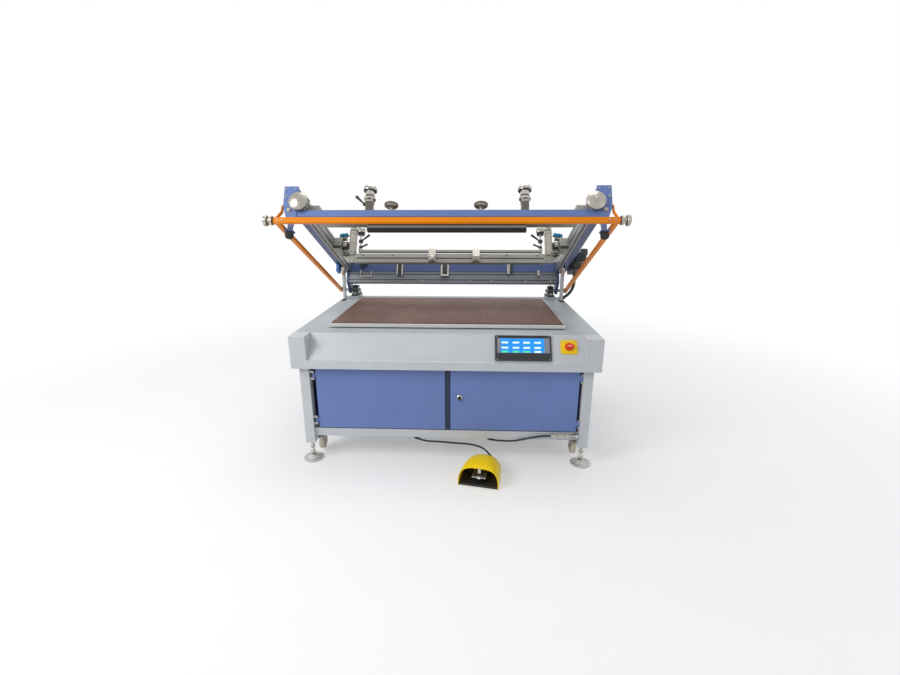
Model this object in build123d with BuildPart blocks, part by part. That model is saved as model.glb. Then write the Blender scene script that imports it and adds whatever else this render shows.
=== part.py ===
from build123d import *
import os
from math import atan2, cos, degrees, hypot, radians, sin, tan

# Semi-automatic clamshell screen printing press, in millimetres.
# X runs to the operator's right, Y to the back, Z up; the floor is Z = 0 and the
# front face of the table is Y = 0 until the finished pieces are centred for export.
# Everything on the head is drawn with the head shut, then turned open about the hinge.

os.makedirs("parts", exist_ok=True)

# Table
table_width = 1900.0
table_depth = 1370.0
deck_top = 865.0
apron_bottom = deck_top - 205.0
sheet = 4.0
deck_front = 110.0
cheek_width = 100.0
lip_top = deck_top - 153.0
slope_foot_y = 14.0
slope_foot_z = lip_top + 4.0

# Stand
leg = 60.0
leg_wall = 3.0
leg_outer_x = table_width / 2 - 35.0
leg_front_y = 40.0
leg_rear_gap = 40.0
leg_bottom = 130.0
leg_plate = 8.0
rail_height = 54.0
rail_depth = 38.0
rail_bottom = 174.0
rail_wall = 3.0
panel = 3.0
header_bottom = apron_bottom - 28.0
header_height = 46.0
header_depth = 20.0
front_rail_top = apron_bottom + 96.0

# Levelling feet
foot_radius = 65.0
foot_rim = 10.0
stem_radius = 8.0
stem_top = 215.0
stem_clearance = 0.05
locknut_flats = 24.0
locknut_height = 12.0

# Castors
castor_x = leg_outer_x - 60.0
castor_y = 163.0
castor_rear_gap = 163.0
castor_plate = 6.0
castor_plate_side = 96.0
wheel_radius = 50.0
wheel_width = 30.0
wheel_lift = 14.0
wheel_trail = 28.0
axle_radius = 5.0
running = 0.05
fork_wall = 3.0
fork_gap = 2.0
king_pin_radius = 7.0

# Doors
door_bottom = rail_bottom + rail_height + 8.0
door_top = apron_bottom - 5.0
door_front_y = 56.0
door_thickness = 18.0
door_left_x0 = leg + 33.0 - leg_outer_x
door_left_x1 = 1.0
door_right_x0 = 35.0
door_right_x1 = leg_outer_x - leg - 17.0
hinge_axis_out = 10.0
hinge_axis_y = 50.0
knuckle_radius = 6.0
door_pin_radius = 3.0
knuckle_length = 30.0
knuckle_gap = 0.3
knuckle_inset = 55.0
post_x0 = 3.0
post_x1 = 33.0
post_depth = 30.0
knob_x = 93.0
knob_z = 460.0
knob_radius = 17.0
lock_shaft_radius = 6.0

# Print bed
bed_half_width = table_width / 2 - 186.0
bed_front = 225.0
bed_rear = table_depth - 248.0
bed_bottom = deck_top + 7.0
bed_top = bed_bottom + 22.0
bed_inset = 34.0
sheet_margin = 12.0
vacuum_sheet_thickness = 6.0

# Console
hmi_x = table_width / 2 - 471.0
hmi_width = 342.0
hmi_height = 160.0
hmi_depth = 12.0
switch_x = table_width / 2 - 193.0
switch_width = 100.0
switch_height = 88.0
switch_depth = 6.0
switch_knob_radius = 24.0

# Head hinge and opening
hinge_y = table_depth - 80.0
hinge_z = deck_top + 70.0
open_angle = 26.5
shaft_radius = 12.5

# Head frame, drawn shut
arm_inner_x = table_width / 2 - 48.0
shaft_inner_x = arm_inner_x - 100.0
arm_width = 80.0
arm_bottom = hinge_z + 167.0
arm_height = 95.0
arm_wall = 4.0
arm_front = 20.0
arm_rear = hinge_y + 40.0
end_plate = 12.0
plate_overlap = 5.0
plate_taper_z = arm_bottom - 37.0
neck_top = deck_top + 92.0
neck_outer_x = arm_inner_x + 42.0
neck_inner_x = arm_inner_x + 6.0
foot_flange_z = deck_top + 40.0
flange_thickness = 9.0
bumper_radius = 25.0
bumper_lift = 0.4
front_bar_bottom = arm_bottom - 96.0
front_bar_side = 40.0
front_bar_y = 12.0
tube_wall = 3.0
lug_thickness = 20.0
rear_beam_y = hinge_y - 115.0
rear_beam_depth = 50.0
rear_beam_height = 90.0
rear_beam_bottom = arm_bottom - 39.0
rear_profile_bottom = rear_beam_bottom - 98.0
rear_profile_depth = 40.0
rail_profile_width = 38.0
rail_profile_height = 90.0
rail_profile_bottom = arm_bottom - 42.0
rail_profile_front = 40.0
rail_profile_rear = rear_beam_y - 10.0
slot_width = 8.0
slot_depth = 10.0

# Safety bar
safety_outer_x = arm_inner_x + arm_width + 2.0
safety_tube = 24.0
safety_front_y = -100.0
safety_bottom = deck_top + 49.0
safety_height = 32.0
safety_eye_radius = 20.0
link_thickness = 6.0
link_width = 22.0
link_top_y = 14.0
link_top_z = arm_bottom - 40.0
link_pin_radius = 5.0
link_play = 15.0
link_side_play = 2.0

# Handwheels
handwheel_x = arm_inner_x - rail_profile_width / 2
handwheel_z = arm_bottom - 10.0
handwheel_radius = 58.0
dome_height = 16.0

# Lift cylinders, one at each rear corner
lift_x = arm_inner_x + 22.0
pin_y = hinge_y - 155.0
pin_z = hinge_z + 143.0
pin_radius = 6.0
open_pivot_play = 3.0
lift_base_y = hinge_y - 105.0
lift_base_z = 290.0
barrel_radius = 20.0
barrel_bore = 16.0
barrel_length = 455.0
rod_radius = 12.0
rod_length = 480.0
rod_end_width = 26.0
clevis_plate = 6.0
clevis_gap = 0.5

# Drive motor
motor_x = arm_inner_x + arm_width + 48.0
motor_z = arm_bottom + 9.0
motor_radius = 44.0
motor_front = hinge_y - 349.0
gearbox_front = hinge_y - 170.0
gearbox_rear = hinge_y - 45.0
gearbox_reach = 59.0
gearbox_half = 48.0
conduit_radius = 12.5
conduit_run = 35.0
conduit_bends = [(28, 16), (42, 15), (56, 13), (70, 11), (84, 7), (94, 0)]
gland_length = 44.0

# Front screen clamp
clamp_y = 161.0
clamp_beam_side = 60.0
clamp_beam_bottom = rail_profile_bottom - 45.0
trolley_inner_x = arm_inner_x - 102.0
trolley_length = 100.0
trolley_gap = 0.3
clamp_post_x = 491.0
clamp_post_side = 48.0
clamp_post_top = clamp_beam_bottom + 169.0
guide_rod_radius = 8.0
lever_stub = 5.0
clamp_bar_half = clamp_post_x + 6.0
clamp_bar_bottom = clamp_beam_bottom - 41.0
clamp_bar_height = 37.0
clamp_bar_depth = 44.0
clamp_pad_height = 15.0
clamp_knob_left_x = -352.0
clamp_knob_right_x = 216.0
clamp_knob_radius = 43.0

# Squeegee carriage
squeegee_y = 681.0
squeegee_beam_half = trolley_inner_x - 100.0
squeegee_beam_bottom = rail_profile_bottom - 105.0
squeegee_beam_height = 68.0
squeegee_beam_depth = 40.0
column_x = squeegee_beam_half + 26.0
column_side = 42.0
column_top = squeegee_beam_bottom + 245.0
tie_bottom = squeegee_beam_bottom + 85.0
tie_height = 16.0
tie_depth = 30.0
block_left_x = -127.0
block_right_x = 195.0
block_width = 52.0
lift_rod_x = squeegee_beam_half - 32.0
rod_rise = 148.0
lift_rod_small = 7.0

# Foot pedal
pedal_x = 210.0
pedal_turn = -10.8
pedal_width = 246.0
pedal_depth = 235.0
pedal_y = 10.0 - pedal_depth
pedal_height = 142.0
pedal_wall = 4.0
pedal_taper = 8.0
treadle_pivot_y = 178.0
treadle_pivot_z = 46.0

# Cables
cable_radius = 6.0
gland_radius = 11.0
relief_length = 24.0

leg_centre_x = leg_outer_x - leg / 2
leg_front_centre = leg_front_y + leg / 2
leg_rear_centre = table_depth - leg_rear_gap - leg / 2
leg_inner_x = leg_outer_x - leg
leg_back_y = leg_front_y + leg
leg_rear_front = table_depth - leg_rear_gap - leg
rail_top = rail_bottom + rail_height
rail_centre_y = leg_back_y - rail_depth / 2
rail_rear_centre = leg_rear_front + rail_depth / 2
rail_side_centre = leg_inner_x + rail_depth / 2
arm_outer_x = arm_inner_x + arm_width
arm_centre_x = arm_inner_x + arm_width / 2
arm_top = arm_bottom + arm_height
rail_profile_inner = arm_inner_x - rail_profile_width
lug_inner_x = arm_inner_x - lug_thickness
slope_angle = degrees(atan2(deck_top - slope_foot_z, deck_front - slope_foot_y))
slope_length = hypot(deck_top - slope_foot_z, deck_front - slope_foot_y)
hinge_axis = Axis((0, hinge_y, hinge_z), (1, 0, 0))

pieces = {}


def block(x0, x1, y0, y1, z0, z1):
    """A plain rectangular solid between two corners."""
    with BuildPart() as solid:
        with BuildSketch(Plane.XY.offset(z0)):
            with Locations(((x0 + x1) / 2, (y0 + y1) / 2)):
                Rectangle(x1 - x0, y1 - y0)
        extrude(amount=z1 - z0)
    return solid.part


def box_tube(start, direction, length, width, height, wall):
    """A rectangular tube from a point along +X or +Y; width is the level side."""
    side = (0, 1, 0) if direction[0] else (-1, 0, 0)
    with BuildPart() as tube:
        with BuildSketch(Plane(origin=start, x_dir=side, z_dir=direction)):
            Rectangle(width, height)
            Rectangle(width - 2 * wall, height - 2 * wall, mode=Mode.SUBTRACT)
        extrude(amount=length)
    return tube.part


def rod(start, end, radius):
    """A round bar between two points."""
    axis = Vector(*end) - Vector(*start)
    with BuildPart() as bar:
        with BuildSketch(Plane(origin=start, z_dir=axis)):
            Circle(radius)
        extrude(amount=axis.length)
    return bar.part


def turned(base, direction, outline):
    """A turned piece: outline lists (radius, height) from the base along the direction."""
    frame = Plane(origin=base, z_dir=direction)
    points = [(0, outline[0][1])] + outline + [(0, outline[-1][1])]
    if outline[0][0] == 0:
        points = points[1:]
    if outline[-1][0] == 0:
        points = points[:-1]
    with BuildPart() as lathe:
        with BuildSketch(Plane.XZ):
            with BuildLine():
                Polyline(*points, close=True)
            make_face()
        revolve(axis=Axis.Z)
    return lathe.part.moved(frame.location)


def mirrored(part):
    """The same piece on the other side of the machine's middle plane."""
    return mirror(part, about=Plane.YZ)


def keep(made, label, on_head=False):
    """Store a finished piece, one part or several; on the head it is turned open about the hinge."""
    made = made if isinstance(made, list) else [made]
    part = Compound([solid for one in made for solid in one.solids()])
    if on_head:
        part = part.rotate(hinge_axis, -open_angle)
    part.label = label
    pieces[label] = part


def shut(point):
    """Where a point given with the head open lies on the shut head."""
    level = Vector(*point) - hinge_axis.position
    return level.rotate(Axis.X, open_angle) + hinge_axis.position


def opened(point):
    """Where a point of the shut head lies with the head open."""
    level = Vector(*point) - hinge_axis.position
    return level.rotate(Axis.X, -open_angle) + hinge_axis.position


# Legs: square tube with a threaded foot plate welded in
leg_places = [(side * leg_centre_x, y) for side in (-1, 1) for y in (leg_front_centre, leg_rear_centre)]
with BuildPart() as frame_legs:
    with BuildSketch(Plane.XY.offset(leg_bottom)):
        with Locations(*leg_places):
            Rectangle(leg, leg)
    extrude(amount=deck_top - sheet - leg_bottom)
    with BuildSketch(Plane.XY.offset(leg_bottom + leg_plate)):
        with Locations(*leg_places):
            Rectangle(leg - 2 * leg_wall, leg - 2 * leg_wall)
    extrude(amount=deck_top - leg_bottom, mode=Mode.SUBTRACT)
    with BuildSketch(Plane.XY.offset(leg_bottom)):
        with Locations(*leg_places):
            Circle(stem_radius + stem_clearance)
    extrude(amount=leg_plate, mode=Mode.SUBTRACT)
keep(frame_legs.part, "frame_legs")

# Rails of the stand: a lower and an upper ring, and the header above the doors
with BuildPart() as frame_rails:
    for middle in (rail_bottom + rail_height / 2, deck_top - sheet - rail_height / 2):
        add(box_tube((-leg_inner_x, rail_rear_centre, middle), (1, 0, 0), 2 * leg_inner_x,
                     rail_depth, rail_height, rail_wall))
        for side in (-1, 1):
            add(box_tube((side * rail_side_centre, leg_back_y, middle), (0, 1, 0),
                         leg_rear_front - leg_back_y, rail_depth, rail_height, rail_wall))
    for top in (rail_top, front_rail_top):
        add(box_tube((-leg_inner_x, rail_centre_y, top - rail_height / 2), (1, 0, 0), 2 * leg_inner_x,
                     rail_depth, rail_height, rail_wall))
    header_y = leg_back_y - header_depth / 2
    add(box_tube((-leg_inner_x, header_y, header_bottom + header_height / 2), (1, 0, 0),
                 2 * leg_inner_x, header_depth, header_height, rail_wall))
keep(frame_rails.part, "frame_rails")

# Cabinet: floor, two sides, back and the post between the doors
side_panel_x = rail_side_centre - panel / 2
upper_rail_bottom = deck_top - sheet - rail_height
post_front = door_front_y + 6.0
with BuildPart() as door_post:
    with BuildSketch(Plane.XY.offset(rail_top)):
        with Locations(((post_x0 + post_x1) / 2, post_front + post_depth / 2)):
            Rectangle(post_x1 - post_x0, post_depth)
            Rectangle(post_x1 - post_x0 - 2 * rail_wall, post_depth - 2 * rail_wall, mode=Mode.SUBTRACT)
    extrude(amount=header_bottom - rail_top)
cabinet_sheets = [door_post.part]
cabinet_sheets.append(block(-leg_inner_x, leg_inner_x, leg_back_y, rail_rear_centre - panel / 2,
                            rail_top, rail_top + panel))
cabinet_sheets.append(block(-leg_inner_x, leg_inner_x, rail_rear_centre - panel / 2,
                            rail_rear_centre + panel / 2, rail_top, upper_rail_bottom))
for side in (-1, 1):
    inner_x, outer_x = sorted((side * side_panel_x, side * (side_panel_x + panel)))
    cabinet_sheets.append(block(inner_x, outer_x, leg_back_y, leg_rear_front, rail_top, upper_rail_bottom))
keep(cabinet_sheets, "cabinet_panels")

# Deck: top sheets with side and rear skirts and a slot for each lift rod
lift_pin_open = opened((lift_x, pin_y, pin_z))
slot_ratio = (deck_top - lift_base_z) / (pin_z - lift_base_z)
slot_front = lift_base_y + (pin_y - lift_base_y) * slot_ratio - rod_radius - 8.0
slot_back = lift_base_y + (lift_pin_open.Y - lift_base_y) * slot_ratio + rod_radius + 8.0
slot_inner_x = lift_x - rod_radius - 6.0
slot_outer_x = lift_x + rod_radius + 6.0
plate_z = deck_top - sheet
skirt_x = table_width / 2 - sheet
deck_sheets = [block(-slot_inner_x, slot_inner_x, deck_front, table_depth, plate_z, deck_top)]
for side in (-1, 1):
    inner_x, outer_x = sorted((side * slot_inner_x, side * table_width / 2))
    deck_sheets.append(block(inner_x, outer_x, deck_front, slot_front, plate_z, deck_top))
    deck_sheets.append(block(inner_x, outer_x, slot_back, table_depth, plate_z, deck_top))
    inner_x, outer_x = sorted((side * slot_outer_x, side * table_width / 2))
    deck_sheets.append(block(inner_x, outer_x, slot_front, slot_back, plate_z, deck_top))
    inner_x, outer_x = sorted((side * skirt_x, side * table_width / 2))
    deck_sheets.append(block(inner_x, outer_x, deck_front, table_depth, apron_bottom, plate_z))
deck_sheets.append(block(-skirt_x, skirt_x, table_depth - sheet, table_depth, apron_bottom, plate_z))
keep(deck_sheets, "deck")

# Console: sloping front panel between two square cheeks, folded from sheet
panel_half = table_width / 2 - cheek_width
slope_drop = sheet / cos(radians(slope_angle))
with BuildPart() as slope_panel:
    with BuildSketch(Plane.YZ.offset(-panel_half)):
        with BuildLine():
            Polyline((0, lip_top - sheet), (0, lip_top), (slope_foot_y, slope_foot_z),
                     (deck_front, deck_top), (deck_front, deck_top - slope_drop),
                     (slope_foot_y + sheet, slope_foot_z - sheet), (sheet, lip_top - sheet), close=True)
        make_face()
    extrude(amount=2 * panel_half)
console_sheets = [slope_panel.part, block(-panel_half, panel_half, 0, sheet, apron_bottom, lip_top - sheet)]
for side in (-1, 1):
    with BuildPart() as cheek_wall:
        with BuildSketch(Plane.YZ.offset(min(side * panel_half, side * (panel_half + sheet)))):
            with BuildLine():
                Polyline((sheet, lip_top - 12), (slope_foot_y + 2, lip_top - 12), (deck_front, deck_top - 20),
                         (deck_front, plate_z), (sheet, plate_z), close=True)
            make_face()
        extrude(amount=sheet)
    console_sheets.append(cheek_wall.part)
    inner_x, outer_x = sorted((side * skirt_x, side * table_width / 2))
    console_sheets.append(block(inner_x, outer_x, sheet, deck_front, apron_bottom, plate_z))
    inner_x, outer_x = sorted((side * panel_half, side * table_width / 2))
    console_sheets.append(block(inner_x, outer_x, 0, sheet, apron_bottom, plate_z))
    console_sheets.append(block(inner_x, outer_x, 0, deck_front, plate_z, deck_top))
keep(console_sheets, "console")

# Print bed: thick plate on an inset frame, with the vacuum sheet on it
with BuildPart() as bed_plate:
    add(block(-bed_half_width, bed_half_width, bed_front, bed_rear, bed_bottom, bed_top))
    top_edges = bed_plate.edges().group_by(Axis.Z)[-1]
    chamfer(top_edges, length=2.0)
    with BuildSketch(Plane.XY.offset(deck_top)):
        with Locations((0, (bed_front + bed_rear) / 2)):
            Rectangle(2 * (bed_half_width - bed_inset), bed_rear - bed_front - 2 * bed_inset)
            Rectangle(2 * (bed_half_width - 3 * bed_inset), bed_rear - bed_front - 6 * bed_inset,
                      mode=Mode.SUBTRACT)
    extrude(amount=bed_bottom - deck_top)
keep(bed_plate.part, "bed_plate")

with BuildPart() as vacuum_sheet:
    with BuildSketch(Plane.XY.offset(bed_top)):
        with Locations((0, (bed_front + bed_rear) / 2)):
            Rectangle(2 * (bed_half_width - sheet_margin), bed_rear - bed_front - 2 * sheet_margin)
    extrude(amount=vacuum_sheet_thickness)
    chamfer(vacuum_sheet.edges().group_by(Axis.Z)[-1], length=1.0)
keep(vacuum_sheet.part, "vacuum_sheet")

# Levelling feet: turned pad and stem with a locknut under the leg
for end, y in (("front", leg_front_centre), ("rear", leg_rear_centre)):
    for side, name in ((-1, "left"), (1, "right")):
        place = Location((side * leg_centre_x, y, 0))
        pad = turned((0, 0, 0), (0, 0, 1), [
            (foot_radius - 3, 0), (foot_radius, 3), (foot_radius, foot_rim), (40, foot_rim + 5),
            (20, 26), (17, 34), (stem_radius, 38)])
        nut_base = leg_bottom - locknut_height - 1.0
        with BuildPart() as stem:
            add(rod((0, 0, 38), (0, 0, stem_top), stem_radius))
            with BuildSketch(Plane.XY.offset(nut_base)):
                RegularPolygon(locknut_flats / 2, 6, major_radius=False)
            extrude(amount=locknut_height)
        keep([pad.moved(place), stem.part.moved(place)], f"foot_{end}_{name}")

# Castors: the front pair swivels, the rear pair is fixed
castor_top = rail_bottom - castor_plate
wheel_z = wheel_lift + wheel_radius
fork_top = castor_top - 14.0
fork_inner = wheel_width / 2 + fork_gap
castor_rear_y = table_depth - castor_rear_gap


def castor_fork():
    """A pressed fork, its swivel axis through the origin, with the wheel behind it."""
    with BuildPart() as fork:
        with BuildSketch(Plane.YZ.offset(-fork_inner - fork_wall)):
            with BuildLine():
                Polyline((-28, fork_top), (28, fork_top), (wheel_trail + 15, wheel_z),
                         (wheel_trail, wheel_z - 15), (wheel_trail - 15, wheel_z), (-28, fork_top))
            make_face()
            fillet(vertices().sort_by(Axis.Y)[0], radius=12)
        extrude(amount=2 * (fork_inner + fork_wall))
        with BuildSketch(Plane.XZ.offset(-100)):
            with Locations((0, wheel_z / 2 + fork_top / 2 - fork_wall - 40)):
                Rectangle(2 * fork_inner, fork_top - wheel_z + 80)
        extrude(amount=200, mode=Mode.SUBTRACT)
        add(rod((-fork_inner - fork_wall - 4, wheel_trail, wheel_z),
                (fork_inner + fork_wall + 4, wheel_trail, wheel_z), axle_radius))
        add(rod((0, 0, fork_top), (0, 0, fork_top + 9), 24))
    return fork.part


def castor_wheel():
    """A wheel with a crowned tread, dished sides and a hub, at its axle."""
    half = wheel_width / 2
    with BuildPart() as wheel:
        with BuildSketch(Plane.XY):
            with BuildLine():
                Polyline((axle_radius + running, -half), (14, -half), (16, -half + 5),
                         (wheel_radius - 14, -half + 5), (wheel_radius - 12, -half),
                         (wheel_radius - 3, -half), (wheel_radius, -half + 5),
                         (wheel_radius, half - 5), (wheel_radius - 3, half),
                         (wheel_radius - 12, half), (wheel_radius - 14, half - 5),
                         (16, half - 5), (14, half), (axle_radius + running, half), close=True)
            make_face()
        revolve(axis=Axis.Y)
    return wheel.part.rotate(Axis.Z, 90)


# Steel brackets: castor plates, rear forks, door hinge leaves and lift cylinder feet
door_hinges = {"left": door_left_x0 - hinge_axis_out, "right": door_right_x1 + hinge_axis_out}
hinge_heights = (door_bottom + knuckle_inset, door_top - knuckle_inset)
bracket_z = rail_top - 14.0
with BuildPart() as brackets:
    for side in (-1, 1):
        for y in (castor_y, castor_rear_y):
            x = side * castor_x
            half = castor_plate_side / 2
            add(block(x - half, x + half, y - half, y + half, castor_top, rail_bottom))
        add(rod((side * castor_x, castor_y, castor_top - 4.5), (side * castor_x, castor_y, castor_top), 24))
        add(castor_fork().moved(Location((side * castor_x, castor_rear_y, 0))))
        add(rod((side * castor_x, castor_rear_y, fork_top), (side * castor_x, castor_rear_y, castor_top), 24))
        base_side = lift_x - rod_end_width / 2 - clevis_gap - clevis_plate
        base_far = lift_x + rod_end_width / 2 + clevis_gap + clevis_plate
        for x0 in (base_side, base_far - clevis_plate):
            with BuildSketch(Plane.YZ.offset(x0 if side > 0 else -x0 - clevis_plate)):
                with Locations((lift_base_y, lift_base_z)):
                    Circle(18)
                with Locations((lift_base_y, (lift_base_z + bracket_z) / 2)):
                    Rectangle(36, lift_base_z - bracket_z)
            extrude(amount=clevis_plate)
        x0, x1 = sorted((side * (leg_inner_x + rail_depth), side * base_far))
        add(block(x0, x1, lift_base_y - 30, lift_base_y + 30, bracket_z, bracket_z + 8))
        x0, x1 = sorted((side * (leg_inner_x + rail_depth), side * (leg_inner_x + rail_depth + 6)))
        add(block(x0, x1, lift_base_y - 30, lift_base_y + 30, rail_bottom + 4, bracket_z))
        add(rod((side * base_side, lift_base_y, lift_base_z), (side * base_far, lift_base_y, lift_base_z),
                pin_radius))
    for side, name in ((-1, "left"), (1, "right")):
        axis_x = door_hinges[name]
        for z in hinge_heights:
            add(rod((axis_x, hinge_axis_y, z - knuckle_length), (axis_x, hinge_axis_y, z + knuckle_length),
                    door_pin_radius))
            reach = knuckle_length / 2 + knuckle_gap
            for z0 in (z - knuckle_length, z + reach):
                add(rod((axis_x, hinge_axis_y, z0), (axis_x, hinge_axis_y, z0 + knuckle_length - reach),
                        knuckle_radius))
                x0, x1 = sorted((axis_x, side * leg_inner_x))
                add(block(x0, x1, hinge_axis_y - 3, hinge_axis_y + 3, z0, z0 + knuckle_length - reach))
keep(brackets.part, "steel_brackets")

for side, name in ((-1, "left"), (1, "right")):
    front = Location((side * castor_x, castor_y, 0))
    keep(castor_fork().moved(front), f"castor_fork_{name}")
    for end, y in (("front", castor_y), ("rear", castor_rear_y)):
        place = Location((side * castor_x, y + wheel_trail, wheel_z))
        keep(castor_wheel().moved(place), f"castor_wheel_{end}_{name}")


def door(x0, x1, side):
    """A folded sheet door with returned edges and two hinge knuckles on its outer edge."""
    axis_x = x0 - hinge_axis_out if side < 0 else x1 + hinge_axis_out
    edge_x = x0 if side < 0 else x1
    with BuildPart() as leaf:
        add(block(x0, x1, door_front_y, door_front_y + door_thickness, door_bottom, door_top))
        chamfer(leaf.edges().group_by(Axis.Y)[0], length=1.5)
        with BuildSketch(Plane.XZ.offset(-door_front_y - door_thickness)):
            with Locations(((x0 + x1) / 2, (door_bottom + door_top) / 2)):
                Rectangle(x1 - x0 - 40, door_top - door_bottom - 40)
        extrude(amount=door_thickness - panel, mode=Mode.SUBTRACT)
        for z in hinge_heights:
            with BuildSketch(Plane.XY.offset(z - knuckle_length / 2)):
                with Locations((axis_x, hinge_axis_y)):
                    Circle(knuckle_radius)
                with BuildLine():
                    Polyline((axis_x, hinge_axis_y - knuckle_radius), (edge_x - side * 4, door_front_y + 2),
                             (edge_x - side * 4, door_front_y + 10), (axis_x, hinge_axis_y + knuckle_radius),
                             close=True)
                make_face()
                with Locations((axis_x, hinge_axis_y)):
                    Circle(door_pin_radius + running, mode=Mode.SUBTRACT)
            extrude(amount=knuckle_length)
        if side > 0:
            with BuildSketch(Plane.XZ.offset(-door_front_y - door_thickness)):
                with Locations((knob_x, knob_z)):
                    Circle(lock_shaft_radius + running)
            extrude(amount=door_thickness, mode=Mode.SUBTRACT)
    return leaf.part


keep(door(door_left_x0, door_left_x1, -1), "door_left")
keep(door(door_right_x0, door_right_x1, 1), "door_right")

# Quarter-turn lock: winged knob, shaft and a cam that swings behind the post
cam_y = post_front + post_depth + 2.0
with BuildPart() as lock_knob:
    add(turned((knob_x, door_front_y - 0.3, knob_z), (0, -1, 0), [
        (knob_radius, 0), (knob_radius, 4), (knob_radius - 4, 7), (12, 8), (12, 14)]))
    with BuildSketch(Plane.XZ.offset(-door_front_y + 8)):
        with Locations((knob_x, knob_z)):
            SlotOverall(28, 9, rotation=90)
    extrude(amount=14)
    add(rod((knob_x, door_front_y - 1, knob_z), (knob_x, cam_y, knob_z), lock_shaft_radius))
with BuildPart() as lock_cam:
    with BuildSketch(Plane.XZ.offset(-cam_y - 4)):
        with Locations((knob_x, knob_z + 33)):
            SlotOverall(92, 20, rotation=90)
    extrude(amount=4)
keep([lock_knob.part, lock_cam.part], "door_lock")

# Panel on the slope, in the slope's own plane
slope_normal = (0, -sin(radians(slope_angle)), cos(radians(slope_angle)))


def on_slope(x, along, out=0.3):
    """A plane lying on the sloping panel, at a distance up it from its foot."""
    y = slope_foot_y + along * cos(radians(slope_angle)) + out * slope_normal[1]
    z = slope_foot_z + along * sin(radians(slope_angle)) + out * slope_normal[2]
    return Plane(origin=(x, y, z), x_dir=(1, 0, 0), z_dir=slope_normal)


with BuildPart() as hmi_panel:
    with BuildSketch(on_slope(hmi_x, slope_length / 2 - 2, 0)):
        RectangleRounded(hmi_width, hmi_height, 6)
    extrude(amount=hmi_depth)
    chamfer(hmi_panel.faces().sort_by(Axis(origin=(0, 0, 0), direction=slope_normal))[-1].edges(), length=2)
    with BuildSketch(on_slope(hmi_x, slope_length / 2 + 8, hmi_depth)):
        Rectangle(hmi_width - 64, hmi_height - 44)
    extrude(amount=-2.0, mode=Mode.SUBTRACT)
keep(hmi_panel.part, "hmi_panel")

with BuildPart() as switch_plate:
    with BuildSketch(on_slope(switch_x, slope_length / 2 + 8, 0)):
        RectangleRounded(switch_width, switch_height, 5)
    extrude(amount=switch_depth)
    with BuildSketch(on_slope(switch_x, slope_length / 2 + 8, switch_depth)):
        Circle(switch_knob_radius + 8)
    extrude(amount=3)
    with BuildSketch(on_slope(switch_x, slope_length / 2 + 8, switch_depth + 3)):
        Circle(6 + running)
    extrude(amount=-7, mode=Mode.SUBTRACT)
keep(switch_plate.part, "switch_plate")

with BuildPart() as switch_knob:
    knob_plane = on_slope(switch_x, slope_length / 2 + 8, switch_depth + 3.3)
    with BuildSketch(knob_plane):
        Circle(switch_knob_radius)
    extrude(amount=9)
    with BuildSketch(knob_plane.offset(9)):
        SlotOverall(2 * switch_knob_radius + 8, 18)
    extrude(amount=16)
    with BuildSketch(knob_plane):
        Circle(6)
    extrude(amount=-7)
keep(switch_knob.part, "switch_knob")

# Pillow blocks on riser plates, with their bolts
pillow_x = 842.0
pillow_width = 48.0
pillow_length = 150.0
riser_top = hinge_z - 43.0
pillow_front = hinge_y - pillow_length / 2
pillow_rear = hinge_y + pillow_length / 2
with BuildPart() as pillow_blocks:
    for side in (-1, 1):
        x = side * pillow_x
        add(block(x - 38, x + 36, hinge_y - 80, table_depth - 6, deck_top, riser_top))
        with BuildSketch(Plane.YZ.offset(x - pillow_width / 2)):
            with BuildLine():
                Polyline((pillow_front, riser_top), (pillow_front, riser_top + 15),
                         (hinge_y - 42, riser_top + 20), (hinge_y - 30, hinge_z + 22), (hinge_y, hinge_z + 40),
                         (hinge_y + 30, hinge_z + 22), (hinge_y + 42, riser_top + 20),
                         (pillow_rear, riser_top + 15), (pillow_rear, riser_top), close=True)
            make_face()
            with Locations((hinge_y, hinge_z)):
                Circle(40)
            with Locations((hinge_y, hinge_z)):
                Circle(shaft_radius + running, mode=Mode.SUBTRACT)
        extrude(amount=pillow_width)
        for y in (hinge_y - 58, hinge_y + 58):
            with BuildSketch(Plane.XY.offset(riser_top + 14)):
                with Locations((x, y)):
                    RegularPolygon(11, 6, major_radius=False)
            extrude(amount=13)
keep(pillow_blocks.part, "pillow_blocks")

# Head arms: capped box tube with a tapered front plate down to the bumper
arm_middle = arm_bottom + arm_height / 2
plate_back = arm_front
arm_tube = box_tube((arm_centre_x, plate_back, arm_middle), (0, 1, 0), arm_rear - plate_back,
                    arm_width, arm_height, arm_wall)
arm_cap = block(arm_inner_x + arm_wall, arm_outer_x - arm_wall, arm_rear - arm_wall, arm_rear,
                arm_bottom + arm_wall, arm_top - arm_wall)
with BuildPart() as front_plate:
    with BuildSketch(Plane.XZ.offset(-plate_back)):
        with BuildLine():
            Polyline((arm_inner_x - plate_overlap, arm_top + 2), (arm_outer_x, arm_top + 2),
                     (arm_outer_x, plate_taper_z), (neck_outer_x, neck_top),
                     (neck_outer_x - 3, foot_flange_z), (neck_inner_x + 10, foot_flange_z),
                     (neck_inner_x, neck_top), (arm_inner_x - plate_overlap, front_bar_bottom), close=True)
        make_face()
    extrude(amount=end_plate)
bumper_x = (neck_outer_x + neck_inner_x + 7) / 2
bumper_y = plate_back - end_plate / 2
with BuildPart() as bumper_flange:
    add(block(bumper_x - 26, bumper_x + 26, plate_back, plate_back + 16, foot_flange_z,
              foot_flange_z + flange_thickness))
    add(block(bumper_x - 26, bumper_x + 26, plate_back - end_plate - 16, plate_back - end_plate, foot_flange_z,
              foot_flange_z + flange_thickness))
link_pin_z = link_top_z - 10.0
link_pin = rod((arm_outer_x - 6, link_top_y, link_pin_z),
               (safety_outer_x + link_thickness + 3, link_top_y, link_pin_z), link_pin_radius)
front_plate_with_pin = front_plate.part + link_pin
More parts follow.
